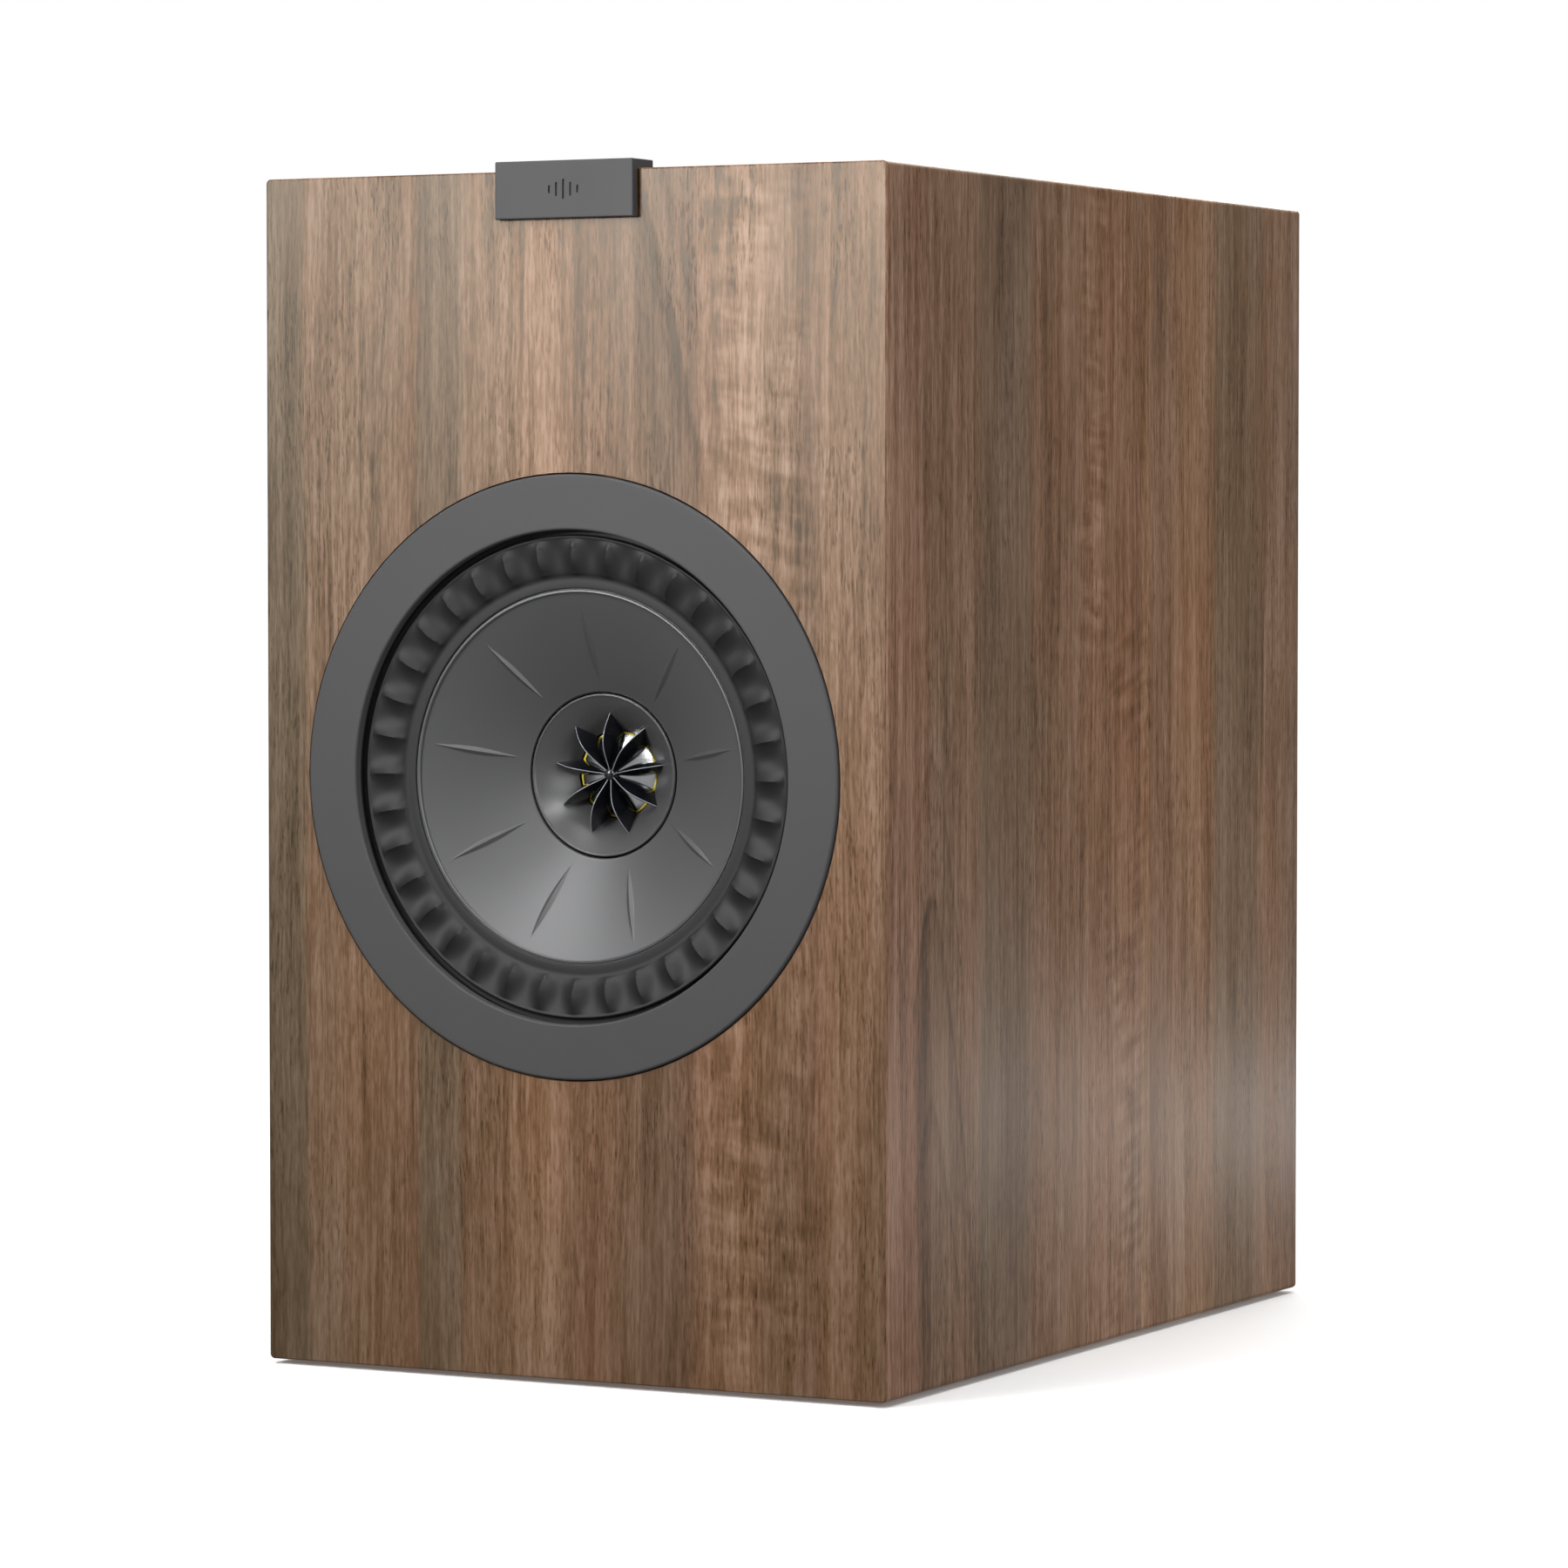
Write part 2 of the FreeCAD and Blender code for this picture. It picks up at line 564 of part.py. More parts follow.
def tinsel_leads():
    """Two braided leads that flex between the coil former and the tag strip, through the basket's windows."""
    away = math.radians(TINSEL_ANGLE)
    outward = Vector(math.sin(away), 0, -math.cos(away))
    start = outward * FORMER_OUTER + Vector(0, TINSEL_DEPTH, 0)
    tag_x, tag_z = TAG_PLACES[1], TAG_PLATE_Z - 2.0
    route = [start, start + outward * 8, Vector(9.5, 27.5, -39), Vector(11, 27, -46.5),
             Vector(tag_x, 31, -53), Vector(tag_x, LEDGE_DEPTH - 6.5, tag_z),
             Vector(tag_x, LEDGE_DEPTH, tag_z)]
    right = lead(route, TINSEL_RADIUS)
    left = right.mirror(Vector(0, 0, 0), Vector(1, 0, 0))
    return [on_driver_axis(right), on_driver_axis(left)]


# ---------------------------------------------------------------- tweeter
def tweeter_waveguide():
    """The short horn round the dome, open behind, with a skirt that stands on the tweeter's body."""
    rim, throat = WAVEGUIDE_RADIUS, WAVEGUIDE_THROAT
    return driver_turned([
        (throat, 30.0), ("arc", (18.9, 24.5), (rim - 0.5, 20.6)), (rim, 21.0), (rim, 28.0), (22.8, 28.0),
        (22.8, 23.6), (17.9, 27.7), (17.9, 31.0), (16.0, 31.0), (16.0, 30.4), (throat, 30.4)])


def waveguide_fins(horn):
    """Nine radial blades over the dome, from a small hub out to the horn's wall. Each is leaf shaped seen
    from the front, and widens from a thin front edge towards the dome."""
    gap = 0.8
    sphere = (DOME_RADIUS**2 + DOME_HEIGHT**2) / (2 * DOME_HEIGHT) + gap
    centre = DOME_RIM_DEPTH - DOME_HEIGHT - gap + sphere

    def over_dome(radius):
        return (radius, centre - math.sqrt(sphere**2 - radius**2))

    hub_front, hub_radius = 24.3, 2.0
    crest, root = FIN_CREST, FIN_CREST[0][0]
    front_edge = Part.BSplineCurve()
    front_edge.interpolate([Vector(*point, 0) for point in crest])
    inner, outer = over_dome(root), over_dome(DOME_RADIUS + 0.4)
    under = Part.Arc(Vector(*outer, 0), Vector(*over_dome(7), 0), Vector(*inner, 0)).toShape()
    in_the_wall = [crest[-1], (18.8, 25.3), (16.2, 27.7), (13.9, 29.9), outer]
    sides = [Part.makeLine(Vector(*a, 0), Vector(*b, 0)) for a, b in zip(in_the_wall, in_the_wall[1:])]
    closing = Part.makeLine(Vector(*inner, 0), Vector(*crest[0], 0))
    outline = Part.Wire(Part.sortEdges([front_edge.toShape(), under, closing] + sides)[0])
    half = Vector(0, 0, 2.5)
    slab = Part.Face(outline).extrude(half * 2).translated(half * -1)
    leaf_sides = []
    for side in (1, -1):
        curve = Part.BSplineCurve()
        curve.interpolate([Vector(radius, 0, width * side) for radius, width in FIN_LEAF])
        leaf_sides.append(curve.toShape())
    (start, start_width), (end, end_width) = FIN_LEAF[0], FIN_LEAF[-1]
    leaf_ends = [Part.makeLine(Vector(r, 0, w), Vector(r, 0, -w))
                 for r, w in ((start, start_width), (end, end_width))]
    leaf = Part.Face(Part.Wire(Part.sortEdges(leaf_sides + leaf_ends)[0]))
    leaf = leaf.extrude(Vector(0, 14, 0)).translated(Vector(0, 19, 0))
    front, back = 20.2, 32.0
    narrow, wide = FIN_EDGE / 2, FIN_EDGE / 2 + FIN_FLARE * (back - front)
    corners = [(front, narrow), (back, wide), (back, -wide), (front, -narrow), (front, narrow)]
    wedge = Part.Face(Part.makePolygon([Vector(0, y, z) for y, z in corners])).extrude(Vector(20, 0, 0))
    blade = slab.common(leaf).common(wedge)
    hub = turned([(0, hub_front - 0.4), (hub_radius - 0.6, hub_front - 0.2), (hub_radius, hub_front + 0.4),
                  over_dome(hub_radius), over_dome(0)])
    whole = hub.multiFuse(around(blade, FIN_COUNT, -90))
    return on_driver_axis(whole).cut(horn)


def tweeter_dome():
    """Spherical metal cap, 0.3 mm thick, with a short turned-back rim."""
    wall = 0.3
    rim, base, apex = DOME_RADIUS, DOME_RIM_DEPTH, DOME_RIM_DEPTH - DOME_HEIGHT
    sphere = (rim**2 + DOME_HEIGHT**2) / (2 * DOME_HEIGHT)
    centre = apex + sphere

    def on_sphere(radius, size):
        return (radius, centre - math.sqrt(size**2 - radius**2))

    inside = sphere - wall
    return driver_turned([
        (0, apex), ("arc", on_sphere(rim / 2, sphere), (rim, base)), (rim, base + 0.6),
        (rim - wall, base + 0.6), on_sphere(rim - wall, inside),
        ("arc", on_sphere(rim / 2, inside), (0, apex + wall))])


def dome_edge_ring():
    return driver_ring(DOME_RADIUS, 13.0, DOME_RIM_DEPTH, DOME_RIM_DEPTH + 0.6)


def tweeter_voice_coil():
    """Former and winding, glued under the dome's rim."""
    top = DOME_RIM_DEPTH + 0.6
    return driver_turned([
        (12.45, top), (12.95, top), (12.95, top + 0.4), (12.6, top + 0.4), (12.6, top + 2.4),
        (12.9, top + 2.4), (12.9, top + 5.6), (12.45, top + 5.6)])


def tweeter_surround():
    """Fine half roll that bulges backwards between the dome's edge and the tweeter's body."""
    front, wall = 31.0, 0.25
    return driver_turned([
        (13.0, front), (13.3, front), ("arc", (14.55, front + 1.2), (15.8, front)), (17.6, front),
        (17.6, front + wall), (16.0, front + wall),
        ("arc", (14.55, front + 1.2 + wall), (13.1, front + wall)),
        (13.0, front + wall)])


def tweeter_chassis():
    """Turned body that carries the tweeter's motor inside the woofer's coil, on top of the pole."""
    return driver_turned([
        (16.2, 31.25), (18.05, 31.25), (18.05, 28), (23.6, 28), (23.6, 51), (7.4, 51),
        (7.4, TWEETER_BASE_DEPTH),
        (18.05, TWEETER_BASE_DEPTH), (18.05, TWEETER_TOP_DEPTH), (16.2, TWEETER_TOP_DEPTH)])


def tweeter_cup():
    return driver_turned([
        (13.4, TWEETER_TOP_DEPTH), (18, TWEETER_TOP_DEPTH), (18, TWEETER_BASE_DEPTH),
        (3, TWEETER_BASE_DEPTH), (3, 42), (13.4, 42)])


def tweeter_magnet():
    return driver_ring(3.0, 11.4, 36.0, 42.0)


def tweeter_pole_tip():
    front = TWEETER_TOP_DEPTH
    return driver_turned([(3.0, front), (11.8, front), (12.1, front + 0.3), (12.1, 36), (3.0, 36)])


def tweeter_rear_tube():
    """Closed tube that loads the back of the dome, down through the woofer's pole."""
    end = TWEETER_TUBE_END
    return driver_turned([
        (5.4, TWEETER_BASE_DEPTH), (7.2, TWEETER_BASE_DEPTH), (7.2, end - 1), (6.2, end), (0, end),
        (0, end - 2), (5.4, end - 2)])


# ---------------------------------------------------------------- port
PORT_FLANGE_THICKNESS = 3.0
PORT_JOINT = 22.0


def at_port(shape):
    return shape.translated(Vector(0, REAR_Y, PORT_Z))


def port_flare():
    """Outer moulding: a flush flange, a trumpet mouth and a socket for the tube. Inwards is negative."""
    bore, wall = PORT_BORE, PORT_WALL
    mouth, flare = PORT_MOUTH, PORT_FLARE
    sweep = 1 - math.sqrt(0.5)
    lip = (bore + (mouth - bore) * sweep, -flare * sweep)
    back = (bore + wall + (mouth - bore) * sweep * 0.55, -flare * 0.62)
    return at_port(turned([
        (bore, -PORT_JOINT), (bore, -flare), ("arc", lip, (mouth, 0)), (PORT_FLANGE, 0),
        (PORT_FLANGE, -PORT_FLANGE_THICKNESS), (mouth + wall, -PORT_FLANGE_THICKNESS),
        ("arc", back, (bore + wall, -WALL_THICKNESS)), (bore + wall, -PORT_JOINT)]))


def port_tube():
    """Inner moulding: the tube, and its own trumpet at the far end."""
    bore, wall, end = PORT_BORE, PORT_WALL, -PORT_LENGTH
    flare = PORT_FLARE
    sweep = 1 - math.sqrt(0.5)
    lip = (bore + flare * sweep, end + flare * sweep)
    return at_port(turned([
        (bore, -PORT_JOINT), (bore, end + flare), ("arc", lip, (bore + flare, end)),
        (bore + flare + 1, end + wall), ("arc", (bore + wall + flare * 0.3, end + flare * 0.62),
                                         (bore + wall, end + flare + 3)), (bore + wall, -PORT_JOINT)]))


# ---------------------------------------------------------------- terminal cup and posts
def post_places():
    """Seen from behind, red is on the right."""
    return {"red": -POST_SPACING / 2, "black": POST_SPACING / 2}


def terminal_cup():
    """Moulded recess with a flush flange, holding the two binding posts."""
    floor_back = CUP_FLOOR_Y - CUP_WALL
    flange = cup_block(CUP_FLANGE_EDGE, CUP_FLANGE_FRONT, REAR_Y, CUP_FLANGE_CORNER)
    flange = flange.makeFillet(0.6, [e for e in flange.Edges if e.BoundBox.YMin > REAR_Y - 1e-4])
    shell = cup_block(CUP_WALL, floor_back, REAR_Y - 1, CUP_CORNER + CUP_WALL)
    hollow = cup_block(0, CUP_FLOOR_Y, REAR_Y + 1, CUP_CORNER)
    hollow = hollow.makeFillet(2.0, [e for e in hollow.Edges if e.BoundBox.YMax < CUP_FLOOR_Y + 1e-4])
    holes = [disc(POST_RADIUS + 0.05, x, floor_back - 1, CUP_FLOOR_Y + 1, CUP_Z)
             for x in post_places().values()]
    holes += [disc(1.6, x, CUP_FLANGE_FRONT - 1, REAR_Y + 1, z) for x, z in cup_screw_places()]
    holes += [turned([(0, 1), (3.2, 1), (3.2, -0.8), (1.6, -2.4), (0, -2.4)])
              .translated(Vector(x, REAR_Y, z)) for x, z in cup_screw_places()]
    return flange.fuse(shell).cut([hollow] + holes).removeSplitter()


def terminal_gasket():
    front = CUP_FLANGE_FRONT - CUP_GASKET
    ring = cup_block(CUP_FLANGE_EDGE - 0.4, front, CUP_FLANGE_FRONT, CUP_FLANGE_CORNER - 0.4)
    holes = [disc(1.6, x, front - 1, REAR_Y, z) for x, z in cup_screw_places()]
    opening = cup_block(CUP_WALL + 0.3, front - 1, REAR_Y, CUP_CORNER + CUP_WALL)
    return ring.cut([opening] + holes)


def terminal_screws():
    screw = wood_screw(2.9, 1.6, 1.5, 12.0).rotated(Vector(0, 0, 0), UP, 180)
    return [screw.translated(Vector(x, REAR_Y - 0.3, z)) for x, z in cup_screw_places()]


def binding_post_studs():
    """Plated studs: a plug socket in the outer end, a cross hole for bare wire, a shoulder at the base."""
    studs = []
    start, end = CUP_FLOOR_Y - 16, CUP_FLOOR_Y + POST_REACH
    for x in post_places().values():
        shaft = disc(POST_RADIUS, x, start, end, CUP_Z)
        shaft = shaft.makeChamfer(0.4, [e for e in shaft.Edges if e.BoundBox.YMin > end - 1e-4])
        socket = disc(SOCKET_RADIUS, x, end - SOCKET_LENGTH, end + 1, CUP_Z)
        wire_y = CUP_FLOOR_Y + COLLAR_THICKNESS + WASHER_THICKNESS + 2.0
        cross = Part.makeCylinder(1.3, 4 * POST_RADIUS, Vector(x, wire_y, CUP_Z - 2 * POST_RADIUS), UP)
        studs.append(shaft.cut([socket, cross]))
    return studs


def binding_post_nuts():
    """One plain washer and one hexagon nut behind the cup on each stud."""
    back = CUP_FLOOR_Y - CUP_WALL
    pieces = []
    for x in post_places().values():
        hole = disc(POST_RADIUS + THREAD_CLEARANCE, x, back - 20, back, CUP_Z)
        pieces.append(disc(7.5, x, back - 1, back, CUP_Z).cut(hole))
        pieces.append(hexagon_prism(11, x, back - 5.8, back - 1.8, CUP_Z).cut(hole))
    return pieces


def solder_tags():
    """Ring tags clamped between washer and nut, with a tail for the lead."""
    back = CUP_FLOOR_Y - CUP_WALL - 1
    pieces = []
    for x in post_places().values():
        ring = disc(6.0, x, back - 0.8, back, CUP_Z)
        tail = box(x - 2.2, x + 2.2, back - 0.8, back, CUP_Z - 16, CUP_Z - 4)
        hole = disc(POST_RADIUS + THREAD_CLEARANCE, x, back - 5, back + 1, CUP_Z)
        pieces.append(ring.fuse(tail).cut(hole).removeSplitter())
    return pieces


def post_base_collars():
    """Moulded insulating collars between each post and the cup's floor."""
    pieces = []
    for x in post_places().values():
        outline = [(POST_RADIUS + THREAD_CLEARANCE, 0), (KNOB_RADIUS + 0.6, 0), (KNOB_RADIUS + 0.6, 2.0),
                   (KNOB_RADIUS - 0.4, COLLAR_THICKNESS), (POST_RADIUS + THREAD_CLEARANCE, COLLAR_THICKNESS)]
        pieces.append(turned(outline).translated(Vector(x, CUP_FLOOR_Y, CUP_Z)))
    return pieces


def clamp_washer(x):
    start = CUP_FLOOR_Y + COLLAR_THICKNESS + 0.05
    outline = ring_outline(POST_RADIUS + THREAD_CLEARANCE, 6.8, start, start + WASHER_THICKNESS)
    return turned(outline).translated(Vector(x, 0, CUP_Z))


KNOB_START = CUP_FLOOR_Y + COLLAR_THICKNESS + WASHER_THICKNESS + 0.1
INSERT_RADIUS = 5.0


def knob(x):
    """Fluted moulded nut with a plain skirt, round a metal insert."""
    flutes = 12
    end = KNOB_LENGTH
    outline = [(INSERT_RADIUS, 0), (KNOB_RADIUS - 0.6, 0), (KNOB_RADIUS, 0.6), (KNOB_RADIUS, end - 1.2),
               (KNOB_RADIUS - 1.2, end), (INSERT_RADIUS, end)]
    body = turned(outline)
    flute = disc(1.3, KNOB_RADIUS + 0.7, 4.5, KNOB_LENGTH + 1, 0)
    body = body.cut(around(flute, flutes))
    return body.translated(Vector(x, KNOB_START, CUP_Z))


def knob_insert(x):
    outline = ring_outline(POST_RADIUS + THREAD_CLEARANCE, INSERT_RADIUS, 0, KNOB_LENGTH - 0.4)
    return turned(outline).translated(Vector(x, KNOB_START, CUP_Z))


# ---------------------------------------------------------------- crossover
def upright(outline, x, y, z):
    """Revolve a (radius, height) outline about a vertical axis at (x, y)."""
    return turned(outline).rotated(Vector(0, 0, 0), Vector(1, 0, 0), 90).translated(Vector(x, y, z))


def board_corners():
    x, y = BOARD_WIDTH / 2 - 6, BOARD_LENGTH / 2 - 6
    return [(sx * x, BOARD_Y + sy * y) for sx in (-1, 1) for sy in (-1, 1)]


def crossover_board():
    z0 = FLOOR_Z + STANDOFF_HEIGHT
    board = box(-BOARD_WIDTH / 2, BOARD_WIDTH / 2, BOARD_Y - BOARD_LENGTH / 2, BOARD_Y + BOARD_LENGTH / 2,
                z0, BOARD_TOP)
    holes = [Part.makeCylinder(1.7, 10, Vector(x, y, z0 - 5)) for x, y in board_corners()]
    return board.cut(holes)


def board_standoffs():
    spacer = upright([(0, 0), (4, 0), (4, STANDOFF_HEIGHT), (0, STANDOFF_HEIGHT)], 0, 0, 0)
    head = upright([(0, 0), (3.2, 0), (3.2, 1.2), (2.2, 2.2), (0, 2.2)], 0, 0, BOARD_TOP - FLOOR_Z)
    shank = upright([(0, 0), (1.6, 0), (1.6, BOARD_THICKNESS), (0, BOARD_THICKNESS)], 0, 0, STANDOFF_HEIGHT)
    post = fused([spacer, shank, head])
    return [post.translated(Vector(x, y, FLOOR_Z)) for x, y in board_corners()]


COILS = ((-33.0, 58.0, 19.0, 22.0), (34.0, 92.0, 14.0, 16.0))


def inductor_bobbins():
    pieces = []
    for x, y, radius, height in COILS:
        core, lip = radius * 0.45, 1.6
        pieces.append(upright([(core - 2.5, 0), (radius + 1, 0), (radius + 1, lip), (core, lip),
                               (core, height - lip), (radius + 1, height - lip), (radius + 1, height),
                               (core - 2.5, height)], x, y, BOARD_TOP))
    return pieces


def inductor_windings():
    pieces = []
    for x, y, radius, height in COILS:
        core, lip = radius * 0.45, 1.6
        pieces.append(upright(ring_outline(core, radius, lip, height - lip), x, y, BOARD_TOP))
    return pieces


def capacitors():
    """Film capacitors lying on the board, with rounded ends."""
    pieces = []
    for x, y, radius, length in ((20.0, 40.0, 9.0, 30.0), (-22.0, 92.0, 10.5, 34.0), (34.0, 62.0, 7.0, 26.0)):
        body = turned([(0, 0), (radius - 1.5, 0), ("arc", (radius - 0.4, 0.4), (radius, 1.5)),
                       (radius, length - 1.5), ("arc", (radius - 0.4, length - 0.4), (radius - 1.5, length)),
                       (0, length)])
        body = body.rotated(Vector(0, 0, 0), UP, 90)
        pieces.append(body.translated(Vector(x + length / 2, y, BOARD_TOP + radius)))
    return pieces


def resistors():
    """Cement resistors standing on the board."""
    pieces = []
    for x, y in ((3.0, 60.0), (3.0, 72.0)):
        block = box(x - 14, x + 14, y - 4.5, y + 4.5, BOARD_TOP, BOARD_TOP + 9)
        pieces.append(block.makeChamfer(0.8, block.Edges))
    return pieces


def internal_leads():
    """Three leads of each colour: board to woofer tag, board to tweeter tube, binding post to board."""
    front_row = BOARD_Y - BOARD_LENGTH / 2 + 5
    rear_row = BOARD_Y + BOARD_LENGTH / 2 - 5
    tag_y, tag_z = FRONT_Y + TOP_PLATE_DEPTH + 4, DRIVER_Z + TAG_PLATE_Z - 5.5
    tube_y = FRONT_Y + TWEETER_TUBE_END
    post_y, post_z = CUP_FLOOR_Y - CUP_WALL - 1.8, CUP_Z - 13.5
    leads = {}
    for colour, post_x in post_places().items():
        side = math.copysign(1, post_x)
        sag = 3 * side
        woofer = [(12, tag_y, tag_z), (12, tag_y + 21, tag_z), (14, tag_y + 46, tag_z - 15 + sag),
                  (16, tag_y + 73, tag_z - 37 + sag), (16, tag_y + 98, tag_z - 52 + sag),
                  (15, front_row, BOARD_TOP + 24), (15, front_row, BOARD_TOP)]
        tweeter = [(2.6, tube_y, DRIVER_Z), (2.6, tube_y + 14, DRIVER_Z),
                   (4, tube_y + 23 + sag / 3, DRIVER_Z - 20), (5, tube_y + 23 + sag, DRIVER_Z - 50),
                   (6, tube_y + 33 + sag, DRIVER_Z - 80), (7, tube_y + 54, DRIVER_Z - 100),
                   (7, tube_y + 74, DRIVER_Z - 114), (6, front_row, BOARD_TOP + 20),
                   (6, front_row, BOARD_TOP)]
        post = [(abs(post_x), post_y, post_z), (abs(post_x), post_y - 9, post_z),
                (18, post_y - 14, post_z - 12), (17, rear_row, BOARD_TOP + 18), (17, rear_row, BOARD_TOP)]
        leads[colour] = [lead([(side * x, y, z) for x, y, z in route], LEAD_RADIUS)
                         for route in (woofer, tweeter, post)]
    return leads


# ---------------------------------------------------------------- build
def build_cabinet():
    panels = mitred_panels()
    panels["front_baffle"] = drilled_baffle(panels["front_baffle"])
    panels["rear_panel"] = drilled_rear(panels["rear_panel"])
    for name, panel in panels.items():
        save(name, panel)
    save("cabinet_brace", cabinet_brace())
    save("acoustic_wadding", *wadding())
    save("rubber_feet", *rubber_feet())
    save("badge", badge())
    save("grille_magnets", *grille_magnets())


def build_woofer():
    save("trim_ring", trim_ring())
    save("driver_basket", driver_basket())
    save("driver_gasket", driver_gasket())
    save("driver_screws", *driver_screws())
    save("surround", surround())
    save("cone", cone())
    save("voice_coil_former", voice_coil_former())
    save("voice_coil_winding", voice_coil_winding())
    save("spider", spider())
    save("motor_top_plate", motor_top_plate())
    save("ferrite_magnet", ferrite_magnet())
    save("motor_yoke", motor_yoke())
    save("driver_tag_strip", driver_tag_strip())
    save("driver_tags", *driver_tags())
    save("tinsel_leads", *tinsel_leads())


def build_tweeter():
    horn = tweeter_waveguide()
    save("tweeter_waveguide", horn)
    save("waveguide_fins", waveguide_fins(horn))
    save("tweeter_dome", tweeter_dome())
    save("dome_edge_ring", dome_edge_ring())
    save("tweeter_voice_coil", tweeter_voice_coil())
    save("tweeter_surround", tweeter_surround())
    save("tweeter_chassis", tweeter_chassis())
    save("tweeter_cup", tweeter_cup())
    save("tweeter_magnet", tweeter_magnet())
    save("tweeter_pole_tip", tweeter_pole_tip())
    save("tweeter_rear_tube", tweeter_rear_tube())


def build_rear():
    save("port_flare", port_flare())
    save("port_tube", port_tube())
    save("terminal_cup", terminal_cup())
    save("terminal_gasket", terminal_gasket())
    save("terminal_screws", *terminal_screws())
    save("binding_post_studs", *binding_post_studs())
    save("binding_post_nuts", *binding_post_nuts())
    save("solder_tags", *solder_tags())
    save("post_base_collars", *post_base_collars())
    for colour, x in post_places().items():
        save(f"{colour}_clamp_washer", clamp_washer(x))
        save(f"{colour}_knob", knob(x))
        save(f"{colour}_knob_insert", knob_insert(x))


def build_crossover():
    save("crossover_board", crossover_board())
    save("board_standoffs", *board_standoffs())
    save("inductor_bobbins", *inductor_bobbins())
    save("inductor_windings", *inductor_windings())
    save("capacitors", *capacitors())
    save("resistors", *resistors())
    for colour, tubes in internal_leads().items():
        save(f"{colour}_leads", *tubes)


os.makedirs("parts", exist_ok=True)
build_cabinet()
build_woofer()
build_tweeter()
build_rear()
build_crossover()
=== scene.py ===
import math

import bmesh
import bpy
import numpy as np
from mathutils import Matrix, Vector, noise


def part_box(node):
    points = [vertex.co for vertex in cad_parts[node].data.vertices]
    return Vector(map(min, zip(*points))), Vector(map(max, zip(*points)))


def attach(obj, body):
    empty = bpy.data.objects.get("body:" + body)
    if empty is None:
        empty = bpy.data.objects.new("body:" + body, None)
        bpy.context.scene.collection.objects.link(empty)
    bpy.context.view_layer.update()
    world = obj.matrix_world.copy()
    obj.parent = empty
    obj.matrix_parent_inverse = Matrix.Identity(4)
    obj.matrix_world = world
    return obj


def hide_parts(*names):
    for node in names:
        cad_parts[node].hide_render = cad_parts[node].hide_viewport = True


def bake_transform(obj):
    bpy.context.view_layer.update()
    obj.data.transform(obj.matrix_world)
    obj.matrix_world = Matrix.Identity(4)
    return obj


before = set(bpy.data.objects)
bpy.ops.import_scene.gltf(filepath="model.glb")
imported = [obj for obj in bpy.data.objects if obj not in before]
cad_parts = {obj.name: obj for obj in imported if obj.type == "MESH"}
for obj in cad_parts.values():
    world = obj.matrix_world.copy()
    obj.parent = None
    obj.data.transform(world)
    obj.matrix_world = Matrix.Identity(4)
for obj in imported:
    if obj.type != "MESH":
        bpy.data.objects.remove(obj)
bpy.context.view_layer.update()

MM = 0.001
BAFFLE_LOW, BAFFLE_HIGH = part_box("front_baffle")
RING_LOW, RING_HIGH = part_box("trim_ring")
FRONT_Y = BAFFLE_LOW.y / MM
REAR_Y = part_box("rear_panel")[1].y / MM
BOTTOM_Z = BAFFLE_LOW.z / MM
TOP_Z = BAFFLE_HIGH.z / MM
HALF_WIDTH = BAFFLE_HIGH.x / MM
DRIVER_Z = (RING_LOW.z + RING_HIGH.z) / 2 / MM
DEPTH = REAR_Y - FRONT_Y
WIDTH = 2 * HALF_WIDTH
HEIGHT = TOP_Z - BOTTOM_Z


# ---------------------------------------------------------------- materials
def linear(colour):
    """Linear light from an sRGB colour written as 0 to 255."""
    values = []
    for c in colour:
        c = c / 255
        values.append(c / 12.92 if c <= 0.04045 else ((c + 0.055) / 1.055) ** 2.4)
    return (*values, 1.0)


